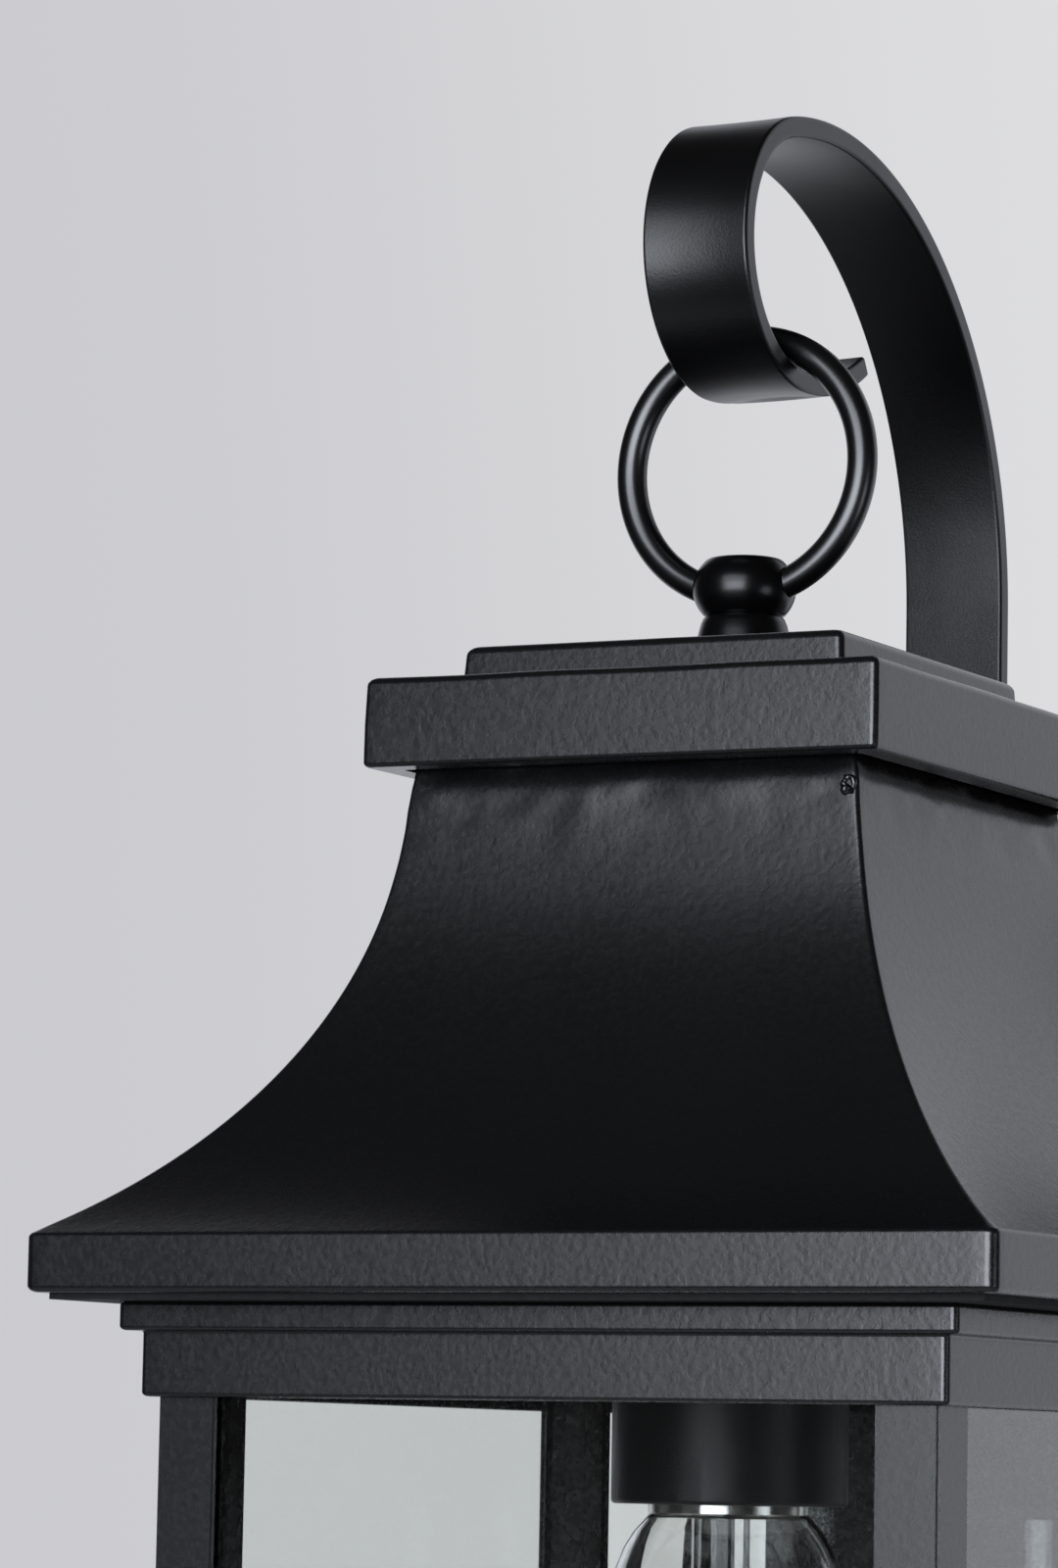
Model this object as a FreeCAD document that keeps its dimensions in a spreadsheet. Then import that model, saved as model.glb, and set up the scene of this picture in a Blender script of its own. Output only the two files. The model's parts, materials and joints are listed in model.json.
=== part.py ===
import FreeCAD, Part
import Sketcher
import math
import os
import re

# Outdoor wall lantern: a bell-cast roof on a glazed square cage, its ring hung in a flat-bar crook.
# Row frame: millimetres, +Z up, the wall is the plane Y = 0, and the lantern stands out towards -Y.
# The origin is the middle of the back plate on the wall.

doc = FreeCAD.newDocument("wall_lantern")
sheet = doc.addObject("Spreadsheet::Sheet", "sizes")

# Driving sizes. Heights are above the eave's lower edge unless their name says otherwise.
SIZES = [
    ("wall_gap", "25.5"),
    ("eave_rise", "10"),
    ("sheet_thick", "1.2"),
    ("fit_gap", "0.1"),
    ("past", "1"),
    ("pipe_radius", "4.75"),
    ("pipe_bore", "3"),
    ("pipe_low", "-1"),
    ("screw_radius", "1.45"),
    ("screw_hole", "1.5"),
    ("screw_head", "2.75"),
    ("screw_head_tall", "2"),
    # roof
    ("eave_half", "82.5"),
    ("skirt_tall", "9"),
    ("neck_half", "40.1"),
    ("neck_rise", "83"),
    ("neck_upright", "2.5"),
    ("neck_round", "2.2"),
    ("hem_wide", "12.5"),
    # cap, top plate and finial
    ("cap_out", "5.3"),
    ("cap_fold", "9.4"),
    ("cap_tall", "13.7"),
    ("cap_round", "1.5"),
    ("top_in", "11.4"),
    ("top_tall", "5.8"),
    ("top_round", "2"),
    ("collar_radius", "8.5"),
    ("collar_rim", "1.4"),
    ("collar_sweep", "12"),
    ("collar_tall", "8.4"),
    ("collar_bore", "8.2"),
    ("ball_radius", "8.15"),
    ("ball_rise", "13.3"),
    ("ball_top", "5.7"),
    ("ball_core", "3"),
    # ring and crook
    ("ring_radius", "21.1"),
    ("ring_rod", "2.485"),
    ("ring_sink", "1.3"),
    ("bar_wide", "18.5"),
    ("bar_thick", "3.5"),
    ("bar_foot", "16"),
    ("curl_middle", "2.7426"),
    ("bend_sweep", "104"),
    ("curl_radius", "22.9"),
    ("tail_radius", "45"),
    ("tail_sweep", "32.6"),
    ("bar_screw_low", "30"),
    ("bar_screw_high", "58"),
    ("bar_screw_radius", "2"),
    ("bar_screw_head", "4"),
    ("bar_screw_head_tall", "2.5"),
    ("bar_nut_tall", "3.2"),
    ("bar_nut_radius", "4.04"),
    # cage
    ("lamp_plate_in", "3"),
    ("lamp_plate_thick", "1"),
    ("cup_hole", "20"),
    ("wire_hole", "5"),
    ("wire_hole_in", "8.9"),
    ("step_in", "7.7"),
    ("step_low", "-5.5"),
    ("band_in", "2.7"),
    ("band_low", "-15.7"),
    ("flange_thick", "1.5"),
    ("flange_wide", "16.9"),
    ("post_in", "2.2"),
    ("post_wide", "10.5"),
    ("post_play", "1"),
    ("post_screw_in", "6.9"),
    ("post_screw_deep", "9"),
    ("groove_in", "1.1"),
    ("groove_wide", "2.6"),
    ("groove_deep", "4"),
    ("glass_thick", "2.2"),
    ("glass_side_gap", "0.5"),
    ("glass_top", "-14"),
    ("cage_low", "-200"),
    ("foot_tall", "14"),
    ("foot_floor", "2"),
    ("foot_lip", "10.9"),
    # lamp holder
    ("bridge_half", "31.5"),
    ("bridge_foot", "48"),
    ("bridge_tall", "14"),
    ("bridge_thick", "1.5"),
    ("bridge_wide", "20"),
    ("bridge_screw", "40"),
    ("pipe_nut_tall", "5"),
    ("pipe_nut_radius", "8.08"),
    ("cup_radius", "19.05"),
    ("cup_wall", "1.3"),
    ("cup_roof", "1.5"),
    ("cup_low", "-31"),
    ("holder_radius", "17.4"),
    ("holder_low", "-29.5"),
    ("holder_top", "5.5"),
    ("holder_bore", "13.75"),
    ("holder_bore_top", "-3.5"),
    ("holder_pipe_floor", "-1.5"),
    ("shell_radius", "13.65"),
    ("shell_bore", "13.25"),
    ("shell_low", "-28.5"),
    ("tongue_radius", "4"),
    ("tongue_low", "-5.5"),
    # bulb
    ("lamp_cap_radius", "13"),
    ("lamp_cap_wall", "0.4"),
    ("lamp_cap_low", "-32.4"),
    ("lamp_cap_shoulder", "-13"),
    ("lamp_cap_top", "-10.5"),
    ("lamp_cap_lip", "9.5"),
    ("button_radius", "4.5"),
    ("button_low", "-8"),
    ("insulator_low", "-12.5"),
    ("bulb_wall", "0.9"),
    ("bulb_neck", "12.5"),
    ("bulb_neck_top", "-15"),
    ("bulb_rim", "13.3"),
    ("bulb_rim_low", "-33.2"),
    ("bulb_shoulder", "18"),
    ("bulb_shoulder_low", "-41"),
    ("bulb_shoulder_round", "14"),
    ("bulb_radius", "30"),
    ("bulb_middle", "-82"),
    ("bulb_tangent", "25.5"),
    ("stem_flare", "11.4"),
    ("stem_top", "-20"),
    ("stem_radius", "6"),
    ("stem_waist", "-31"),
    ("stem_low", "-50"),
    ("stem_rod", "1.6"),
    ("stem_rod_low", "-68"),
    ("lead_half", "4.4"),
    ("lead_radius", "0.4"),
    ("lead_low", "-78"),
    # back plate and wall fixing
    ("plate_wide", "110"),
    ("plate_tall", "180"),
    ("plate_deep", "20"),
    ("plate_thick", "1.5"),
    ("plate_corner", "7"),
    ("plate_round", "3"),
    ("gasket_thick", "2"),
    ("gasket_wide", "5.5"),
    ("neck_wide", "40"),
    ("neck_high", "-6"),
    ("neck_low", "-15.2"),
    ("neck_screw", "14"),
    ("neck_screw_long", "7.4"),
    ("neck_wire", "3.5"),
    ("stud_in", "10.5"),
    ("stud_radius", "2"),
    ("stud_head", "3.6"),
    ("stud_head_tall", "2.3"),
    ("stud_out", "7"),
    ("cap_nut_radius", "5"),
    ("cap_nut_straight", "5"),
    ("cap_nut_bore", "8"),
    ("strap_wide", "20"),
    ("strap_thick", "2.5"),
    ("box_strap_tall", "108"),
    ("stud_strap_gap", "1.5"),
    ("box_slot_half", "39.7"),
    ("box_slot_radius", "2.4"),
    ("box_slot_long", "14.4"),
    # sizes worked out from the ones above
    ("reach", "=eave_half + wall_gap"),
    ("hem_half", "=eave_half - hem_wide"),
    ("neck_top", "=neck_rise + neck_upright"),
    ("cap_half", "=neck_half + cap_out"),
    ("cap_mouth", "=cap_half - cap_fold"),
    ("top_half", "=cap_half - top_in"),
    ("lamp_plate_half", "=eave_half - lamp_plate_in"),
    ("step_half", "=lamp_plate_half - step_in"),
    ("band_half", "=step_half - band_in"),
    ("post_half", "=band_half - post_in"),
    ("flange_half", "=post_half - flange_wide"),
    ("foot_mouth", "=post_half - foot_lip"),
    ("wire_hole_back", "=post_half - wire_hole_in"),
    ("screw_half", "=post_half - post_screw_in"),
    ("pipe_hole", "=pipe_radius + fit_gap"),
    ("flare_run", "=eave_half - neck_half"),
    ("flare_rise", "=neck_rise - skirt_tall"),
    ("flare_radius", "=(flare_run^2 + flare_rise^2) / (2 * flare_run)"),
    ("flare_middle", "=neck_half + flare_radius"),
    ("inner_flare", "=flare_radius + sheet_thick"),
    ("inner_eave", "=eave_half - sheet_thick"),
    ("inner_neck", "=neck_half - sheet_thick"),
    ("inner_skirt", "=neck_rise - sqrt(inner_flare^2 - (flare_middle - inner_eave)^2)"),
    ("inner_top", "=neck_top - sheet_thick"),
    ("inner_neck_round", "=neck_round - sheet_thick"),
    ("cap_top", "=neck_top + cap_tall"),
    ("top_top", "=cap_top + top_tall"),
    ("collar_low", "=sqrt(ball_radius^2 - (ball_rise - collar_tall)^2)"),
    ("ball_flat", "=sqrt(ball_radius^2 - ball_top^2)"),
    ("ball_end", "=ball_rise + ball_top"),
    ("socket_rod", "=ring_rod + fit_gap / 2"),
    ("ring_rise", "=top_top + ball_rise - ring_sink + ring_radius"),
    ("bar_back", "=reach - gasket_thick - plate_deep"),
    ("bar_front", "=bar_back - bar_thick"),
    ("bend_share", "=1 - cos(bend_sweep)"),
    ("bend_radius", "=(bar_back - curl_middle - curl_radius * cos(bend_sweep)) / bend_share"),
    ("bend_middle", "=bar_back - bend_radius"),
    ("curl_inner", "=curl_radius - bar_thick"),
    ("ring_rest", "=ring_rise + sqrt((ring_radius - ring_rod)^2 - (bar_wide / 2)^2) - fit_gap"),
    ("curl_rise", "=ring_rest + sqrt(curl_inner^2 - curl_middle^2)"),
    ("bend_rise", "=curl_rise - (bend_radius - curl_radius) * sin(bend_sweep)"),
    ("bend_end", "=bend_middle + bend_radius * cos(bend_sweep)"),
    ("bend_end_rise", "=bend_rise + bend_radius * sin(bend_sweep)"),
    ("inner_bend", "=bend_radius - bar_thick"),
    ("inner_bend_end", "=bend_middle + inner_bend * cos(bend_sweep)"),
    ("inner_bend_end_rise", "=bend_rise + inner_bend * sin(bend_sweep)"),
    ("curl_low", "=curl_rise - curl_radius"),
    ("inner_curl_low", "=curl_rise - curl_inner"),
    ("tail_rise", "=curl_low + tail_radius"),
    ("inner_tail", "=tail_radius - bar_thick"),
    ("tail_end", "=curl_middle + tail_radius * sin(tail_sweep)"),
    ("tail_end_rise", "=tail_rise - tail_radius * cos(tail_sweep)"),
    ("inner_tail_end", "=curl_middle + inner_tail * sin(tail_sweep)"),
    ("inner_tail_end_rise", "=tail_rise - inner_tail * cos(tail_sweep)"),
    ("pocket_half", "=post_half + post_play"),
    ("post_top", "=-lamp_plate_thick - flange_thick"),
    ("post_low", "=cage_low + foot_floor"),
    ("post_inner", "=post_half - post_wide"),
    ("groove_outer", "=post_half - groove_in"),
    ("groove_inner", "=groove_outer - groove_wide"),
    ("groove_floor", "=post_inner + groove_deep"),
    ("glass_outer", "=groove_outer - (groove_wide - glass_thick) / 2"),
    ("glass_half", "=groove_floor - glass_side_gap"),
    ("bridge_leg", "=bridge_half - bridge_thick"),
    ("bridge_web", "=bridge_tall - bridge_thick"),
    ("cup_top", "=bridge_web"),
    ("cup_ceiling", "=cup_top - cup_roof"),
    ("cup_bore", "=cup_radius - cup_wall"),
    ("lamp_cap_bore", "=lamp_cap_radius - lamp_cap_wall"),
    ("lamp_cap_lip_bore", "=lamp_cap_lip - lamp_cap_wall"),
    ("lamp_cap_inner_shoulder", "=lamp_cap_shoulder - lamp_cap_wall / 2"),
    ("insulator_radius", "=lamp_cap_lip_bore - fit_gap / 2"),
    ("inner_bulb_neck", "=bulb_neck - bulb_wall"),
    ("inner_bulb_rim", "=bulb_rim - bulb_wall"),
    ("inner_bulb_rim_low", "=bulb_rim_low - bulb_wall / 3"),
    ("inner_bulb_shoulder", "=bulb_shoulder - bulb_wall"),
    ("inner_bulb_round", "=bulb_shoulder_round - bulb_wall"),
    ("bulb_tangent_low", "=bulb_middle + sqrt(bulb_radius^2 - bulb_tangent^2)"),
    ("inner_bulb", "=bulb_radius - bulb_wall"),
    ("inner_bulb_tangent", "=bulb_tangent * inner_bulb / bulb_radius"),
    ("inner_bulb_tangent_low", "=bulb_middle + sqrt(inner_bulb^2 - inner_bulb_tangent^2)"),
    ("bulb_end", "=bulb_middle - bulb_radius"),
    ("inner_bulb_end", "=bulb_middle - inner_bulb"),
    ("lamp_cap_clear", "=lamp_cap_low - fit_gap"),
    ("plate_inside", "=plate_deep - plate_thick"),
    ("plate_front", "=gasket_thick + plate_deep"),
    ("neck_middle", "=(neck_high + neck_low) / 2"),
    ("cap_nut_end", "=cap_nut_straight + cap_nut_radius"),
    ("bar_screw_long", "=bar_thick + plate_thick + bar_nut_tall + past"),
    ("post_screw_long", "=lamp_plate_thick + flange_thick + post_screw_deep - past"),
    ("foot_screw_long", "=foot_floor + post_screw_deep - past"),
    ("bridge_screw_long", "=3 * bridge_thick + lamp_plate_thick"),
    ("stud_half", "=plate_wide / 2 - stud_in"),
    ("stud_strap_wide", "=plate_wide - 2 * (plate_thick + stud_strap_gap)"),
    ("stud_long", "=plate_front - strap_thick + stud_out"),
    ("ground_screw_long", "=2 * strap_thick - fit_gap"),
    ("stud_hole", "=stud_radius + fit_gap"),
    ("inner_corner", "=plate_corner - plate_thick"),
    ("inner_round", "=plate_round - plate_thick"),
]
NAMES = set(name for name, text in SIZES)
for row, (name, text) in enumerate(SIZES, start=1):
    sheet.set(f"A{row}", name)
    sheet.set(f"B{row}", text)
    sheet.setAlias(f"B{row}", name)
doc.recompute()

# Where a piece's own zero lies in the row frame.
LANTERN = ("0", "-reach", "eave_rise")
WALL = ("0", "0", "0")

AXIS_X = FreeCAD.Vector(1, 0, 0)
AXIS_Z = FreeCAD.Vector(0, 0, 1)
UP = FreeCAD.Rotation()
DOWN = FreeCAD.Rotation(AXIS_X, 180)
BACK = FreeCAD.Rotation(AXIS_X, -90)
FRONT = FreeCAD.Rotation(AXIS_X, 90)


def in_sheet(text):
    """The expression with every size name written as a cell of the sheet."""
    return re.sub(r"[a-z_]+", lambda m: "sizes." + m.group() if m.group() in NAMES else m.group(), text)


def amount(text):
    """The present value of a size, with an optional minus sign."""
    name = text.lstrip("-")
    value = 0.0 if name == "0" else float(sheet.get(name))
    return -value if text.startswith("-") else value


def at(thing, x, y, z, home=LANTERN, turn=UP):
    """Put a thing at a place measured from its home, turned about its own zero."""
    thing.Placement = FreeCAD.Placement(FreeCAD.Vector(), turn)
    for letter, base, offset in zip("xyz", home, (x, y, z)):
        thing.setExpression(f"Placement.Base.{letter}", in_sheet(f"{base} + ({offset})"))
    return thing


def block(name, low, high, home=LANTERN):
    """A box from its low corner to its high corner, each given as three expressions."""
    box = doc.addObject("Part::Box", name)
    for side, near, far in zip(("Length", "Width", "Height"), low, high):
        box.setExpression(side, in_sheet(f"({far}) - ({near})"))
    return at(box, *low, home=home)


def square(name, half, low, high):
    """A square block about the lantern's axis."""
    return block(name, (f"-({half})", f"-({half})", low), (half, half, high))


def rod(name, radius, long, spot, home=LANTERN, turn=UP):
    cylinder = doc.addObject("Part::Cylinder", name)
    cylinder.setExpression("Radius", in_sheet(radius))
    cylinder.setExpression("Height", in_sheet(long))
    return at(cylinder, *spot, home=home, turn=turn)


def cut(name, base, tools):
    """The base with every tool taken away."""
    tool = tools[0] if len(tools) == 1 else join(name + "_tools", tools)
    result = doc.addObject("Part::Cut", name)
    result.Base = base
    result.Tool = tool
    return result


def join(name, shapes):
    result = doc.addObject("Part::MultiFuse", name)
    result.Shapes = shapes
    return result


def common(name, shapes):
    result = doc.addObject("Part::MultiCommon", name)
    result.Shapes = shapes
    return result


def group(name, things):
    """Identical fasteners as one node of separate solids."""
    result = doc.addObject("Part::Compound", name)
    result.Links = things
    return result


def rounded(name, base, radius, chosen):
    """Round the edges that the test chooses by their box and direction."""
    doc.recompute()
    result = doc.addObject("Part::Fillet", name)
    result.Base = base
    value = amount(radius)
    result.Edges = [(i, value, value) for i, edge in enumerate(base.Shape.Edges, start=1) if chosen(edge)]
    return result


TOUCH = 0.01


def at_height(height):
    """A test for the level edges at a height above the eave."""
    level = amount(height) + amount("eave_rise")
    return lambda edge: edge.BoundBox.ZLength < TOUCH and abs(edge.BoundBox.ZMin - level) < TOUCH


def pinned(sketch, kind, spot, text):
    """Tie one coordinate of a sketch point to the sheet."""
    if text == "0":
        sketch.addConstraint(Sketcher.Constraint("PointOnObject", *spot, -2 if kind == "DistanceX" else -1))
        return
    index = sketch.addConstraint(Sketcher.Constraint(kind, -1, 1, *spot, amount(text)))
    sketch.setExpression(f"Constraints[{index}]", in_sheet(text))


def outline(body, role, corners, bends):
    """A closed sketch on an origin plane; bends gives an arc's radius and turning way by edge number."""
    sketch = body.newObject("Sketcher::SketchObject", body.Label + "_outline")
    plane = next(f for f in body.Origin.OriginFeatures if f.Role == role)
    sketch.AttachmentSupport = [(plane, "")]
    sketch.MapMode = "FlatFace"
    spots = [FreeCAD.Vector(amount(x), amount(y), 0) for x, y in corners]
    ends = []
    for i, spot in enumerate(spots):
        following = spots[(i + 1) % len(spots)]
        if i not in bends:
            sketch.addGeometry(Part.LineSegment(spot, following))
            ends.append((1, 2))
            continue
        radius_name, way = bends[i]
        radius = amount(radius_name)
        chord = following - spot
        across = FreeCAD.Vector(-chord.y, chord.x, 0).normalize()
        middle = (spot + following) * 0.5 + across * way * math.sqrt(radius ** 2 - chord.Length ** 2 / 4)
        circle = Part.Circle(middle, AXIS_Z, radius)
        first, last = (spot, following) if way > 0 else (following, spot)
        begin = circle.parameter(first)
        finish = circle.parameter(last)
        if finish < begin:
            finish += 2 * math.pi
        sketch.addGeometry(Part.ArcOfCircle(circle, begin, finish))
        ends.append((1, 2) if way > 0 else (2, 1))
    for i in range(len(spots)):
        j = (i + 1) % len(spots)
        sketch.addConstraint(Sketcher.Constraint("Coincident", i, ends[i][1], j, ends[j][0]))
    for i, (x, y) in enumerate(corners):
        pinned(sketch, "DistanceX", (i, ends[i][0]), x)
        pinned(sketch, "DistanceY", (i, ends[i][0]), y)
    for i, (radius_name, way) in bends.items():
        index = sketch.addConstraint(Sketcher.Constraint("Radius", i, amount(radius_name)))
        sketch.setExpression(f"Constraints[{index}]", in_sheet(radius_name))
    return sketch


def turned(name, corners, bends, spot=("0", "0", "0"), home=LANTERN, turn=UP):
    """A body of revolution from its half section (radius, height)."""
    body = doc.addObject("PartDesign::Body", name)
    sketch = outline(body, "XZ_Plane", corners, bends)
    spin = body.newObject("PartDesign::Revolution", name + "_turn")
    spin.Profile = sketch
    spin.ReferenceAxis = (sketch, ["V_Axis"])
    spin.Angle = 360
    return at(body, *spot, home=home, turn=turn)


def padded(name, role, corners, bends, long, both_ways, spot=("0", "0", "0"), turn=UP):
    """A body padded from a closed outline."""
    body = doc.addObject("PartDesign::Body", name)
    sketch = outline(body, role, corners, bends)
    pad = body.newObject("PartDesign::Pad", name + "_pad")
    pad.Profile = sketch
    pad.setExpression("Length", in_sheet(long))
    if both_ways:
        pad.SideType = "Symmetric"
    return at(body, *spot, turn=turn)


def screw(name, radius, long, head, head_tall, spot, home=LANTERN, turn=UP):
    """A headed screw: zero is under the head, and the shank runs along its turned axis."""
    crown = "-" + head_tall
    profile = [("0", crown), (head, crown), (head, "0"), (radius, "0"), (radius, long), ("0", long)]
    return turned(name, profile, {}, spot, home, turn)


def hex_nut(name, radius, tall, hole, spot, turn=UP):
    prism = doc.addObject("Part::Prism", name + "_body")
    prism.Polygon = 6
    prism.setExpression("Circumradius", in_sheet(radius))
    prism.setExpression("Height", in_sheet(tall))
    at(prism, *spot, turn=turn)
    return cut(name, prism, [rod(name + "_bore", hole, tall, spot, turn=turn)])


def axis_hole(name, low, high):
    """A clearance hole for the centre pipe."""
    return rod(name, "pipe_hole", f"({high}) - ({low})", ("0", "0", low))


NODES = []


def node(thing, label):
    thing.Label = label
    NODES.append(thing)


# Roof: a sheet of even thickness, hipped by crossing two equal bell-cast prisms.
def roof_prism(name, role, eave, low, skirt, neck, flare, top):
    profile = [("-" + eave, low), (eave, low), (eave, skirt), (neck, "neck_rise"), (neck, top),
               ("-" + neck, top), ("-" + neck, "neck_rise"), ("-" + eave, skirt)]
    return padded(name, role, profile, {2: (flare, -1), 6: (flare, -1)}, "2 * (eave_half + past)", True)


roof_outside = ("eave_half", "0", "skirt_tall", "neck_half", "flare_radius", "neck_top")
roof_inside = ("inner_eave", "sheet_thick", "inner_skirt", "inner_neck", "inner_flare", "inner_top")
roof_solid = common("roof_solid", [roof_prism("roof_long", "XZ_Plane", *roof_outside),
                                   roof_prism("roof_cross", "YZ_Plane", *roof_outside)])
roof_hollow = common("roof_hollow", [roof_prism("hollow_long", "XZ_Plane", *roof_inside),
                                     roof_prism("hollow_cross", "YZ_Plane", *roof_inside)])
hem_mouth = square("hem_mouth", "hem_half", "-past", "2 * sheet_thick")
roof_hole = axis_hole("roof_hole", "inner_top - past", "neck_top + past")
roof_outer = rounded("roof_outer", roof_solid, "neck_round", at_height("neck_top"))
roof_inner = rounded("roof_inner", roof_hollow, "inner_neck_round", at_height("inner_top"))
node(cut("roof_cut", roof_outer, [roof_inner, hem_mouth, roof_hole]), "roof_shell")


# Cap box with a folded-in lower edge, and the plate on it.
cap_block = rounded("cap_sides", square("cap_block", "cap_half", "neck_top", "cap_top"), "cap_round",
                    at_height("cap_top"))
cap = cut("cap_box_cut", cap_block, [
    square("cap_hollow", "cap_half - sheet_thick", "neck_top + sheet_thick", "cap_top - sheet_thick"),
    square("cap_opening", "cap_mouth", "neck_top - past", "neck_top + 2 * sheet_thick"),
    axis_hole("cap_hole", "cap_top - 2 * sheet_thick", "cap_top + past")])
node(cap, "cap_box")

top_block = rounded("top_sides", square("top_block", "top_half", "cap_top", "top_top"), "top_round",
                    at_height("top_top"))
top_hole = axis_hole("top_hole", "cap_top - past", "top_top + past")
node(cut("top_plate_cut", top_block, [top_hole]), "cap_plate")

# Finial: collar, neck and ball turned in one, bored for the pipe and for the two ring ends.
finial_profile = [("pipe_hole", "0"), ("collar_radius", "0"), ("collar_radius", "collar_rim"),
                  ("collar_low", "collar_tall"), ("ball_flat", "ball_end"), ("0", "ball_end"),
                  ("0", "collar_bore"), ("pipe_hole", "collar_bore")]
finial_turned = turned("finial_turned", finial_profile, {2: ("collar_sweep", -1), 3: ("ball_radius", 1)},
                       ("0", "0", "top_top"))


def ring(name, rod_radius):
    torus = doc.addObject("Part::Torus", name)
    torus.setExpression("Radius1", in_sheet("ring_radius"))
    torus.setExpression("Radius2", in_sheet(rod_radius))
    return at(torus, "0", "0", "ring_rise", turn=BACK)


def ring_gap(name):
    """The space between the two ring ends, inside the ball."""
    return block(name, ("-ball_core", "-ball_radius", "ring_rise - 2 * ring_radius"),
                 ("ball_core", "ball_radius", "ring_rise"))


node(cut("finial_cut", finial_turned, [cut("ring_sockets", ring("socket_ring", "socket_rod"),
                                           [ring_gap("socket_gap")])]), "finial")
node(cut("ring_cut", ring("ring_whole", "ring_rod"), [ring_gap("ring_end_gap")]), "hanging_ring")

# Crook arm: one flat bar bent along three arcs, curled under to carry the ring.
arm_profile = [("bar_back", "bar_foot"), ("bar_back", "bend_rise"), ("bend_end", "bend_end_rise"),
               ("curl_middle", "curl_low"), ("tail_end", "tail_end_rise"),
               ("inner_tail_end", "inner_tail_end_rise"), ("curl_middle", "inner_curl_low"),
               ("inner_bend_end", "inner_bend_end_rise"), ("bar_front", "bend_rise"),
               ("bar_front", "bar_foot")]
arm_bends = {1: ("bend_radius", 1), 2: ("curl_radius", 1), 3: ("tail_radius", 1),
             5: ("inner_tail", -1), 6: ("curl_inner", -1), 7: ("inner_bend", -1)}
arm_bar = padded("arm_bar", "YZ_Plane", arm_profile, arm_bends, "bar_wide", True)
bar_screw_spots = ("bar_screw_low", "bar_screw_high")
bar_screw_hole = "bar_screw_radius + fit_gap"
arm_holes = [rod(f"arm_hole_{i}", bar_screw_hole, "3 * bar_thick",
                 ("0", "bar_front - bar_thick", z), turn=BACK) for i, z in enumerate(bar_screw_spots)]
node(cut("arm_cut", arm_bar, arm_holes), "hook_arm")
arm_screws = [screw(f"arm_screw_{i}", "bar_screw_radius", "bar_screw_long", "bar_screw_head",
                    "bar_screw_head_tall", ("0", "bar_front", z), turn=BACK)
              for i, z in enumerate(bar_screw_spots)]
node(group("arm_screw_set", arm_screws), "arm_screws")
arm_nuts = [hex_nut(f"arm_nut_{i}", "bar_nut_radius", "bar_nut_tall", bar_screw_hole,
                    ("0", "bar_back + plate_thick", z), turn=BACK)
            for i, z in enumerate(bar_screw_spots)]
node(group("arm_nut_set", arm_nuts), "arm_nuts")

# Cage: lamp plate, stepped top frame, four grooved posts, four panes and the foot frame.
CORNERS = (("front_left", -1, -1, 180), ("front_right", 1, -1, 270),
           ("rear_right", 1, 1, 0), ("rear_left", -1, 1, 90))


def post_spot(x, y, height):
    """A place on a post's screw line."""
    return f"{x} * screw_half", f"{y} * screw_half", height


def corner_rods(name, radius, low, high):
    """One rod at each post screw."""
    return [rod(f"{name}_{corner}", radius, f"({high}) - ({low})", post_spot(x, y, low))
            for corner, x, y, turn in CORNERS]


def corner_screws(name, long, height, turn):
    """One screw at each post, its head at a height."""
    return [screw(f"{name}_{corner}", "screw_radius", long, "screw_head", "screw_head_tall",
                  post_spot(x, y, height), turn=turn) for corner, x, y, spin in CORNERS]


def wire_way(name, low, high):
    """The hole that leads the supply down from the roof to the neck."""
    return rod(name, "wire_hole", f"({high}) - ({low})", ("0", "wire_hole_back", low))


SIDES = (-1, 1)


def bridge_rods(name, low, high):
    """Holes for the two bridge screws."""
    return [rod(f"{name}_{i}", "screw_hole", f"({high}) - ({low})", (f"{x} * bridge_screw", "0", low))
            for i, x in enumerate(SIDES)]


plate_below, plate_above = "-2 * lamp_plate_thick", "lamp_plate_thick"
node(cut("lamp_plate_cut", square("lamp_sheet", "lamp_plate_half", "-lamp_plate_thick", "0"), [
    rod("cup_opening", "cup_hole", "4 * lamp_plate_thick", ("0", "0", plate_below)),
    wire_way("plate_wire_way", plate_below, plate_above),
    *corner_rods("lamp_plate_hole", "screw_hole", plate_below, plate_above),
    *bridge_rods("bridge_hole", plate_below, plate_above)]), "lamp_plate")


def neck_rods(name, radius, near, far):
    """Rods along Y at the two neck screws."""
    return [rod(f"{name}_{i}", radius, f"({far}) - ({near})",
                (f"{x} * neck_screw", near, "neck_middle"), turn=BACK) for i, x in enumerate(SIDES)]


def neck_wire_way(name, near, far):
    return rod(name, "neck_wire", f"({far}) - ({near})", ("0", near, "neck_middle"), turn=BACK)


top_outside = join("top_frame_outside", [square("top_step", "step_half", "step_low", "-lamp_plate_thick"),
                                         square("top_band", "band_half", "band_low", "step_low")])
node(cut("top_frame_cut", top_outside, [
    square("top_pocket", "pocket_half", "band_low - past", "post_top"),
    square("top_mouth", "flange_half", "post_top - past", "0"),
    wire_way("flange_wire_way", "post_top - past", "0"),
    *corner_rods("top_frame_hole", "screw_hole", "post_top - past", "0"),
    *neck_rods("top_frame_neck_hole", "screw_hole", "pocket_half - past", "step_half"),
    neck_wire_way("top_frame_wire", "pocket_half - past", "step_half")]), "top_frame")

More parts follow.
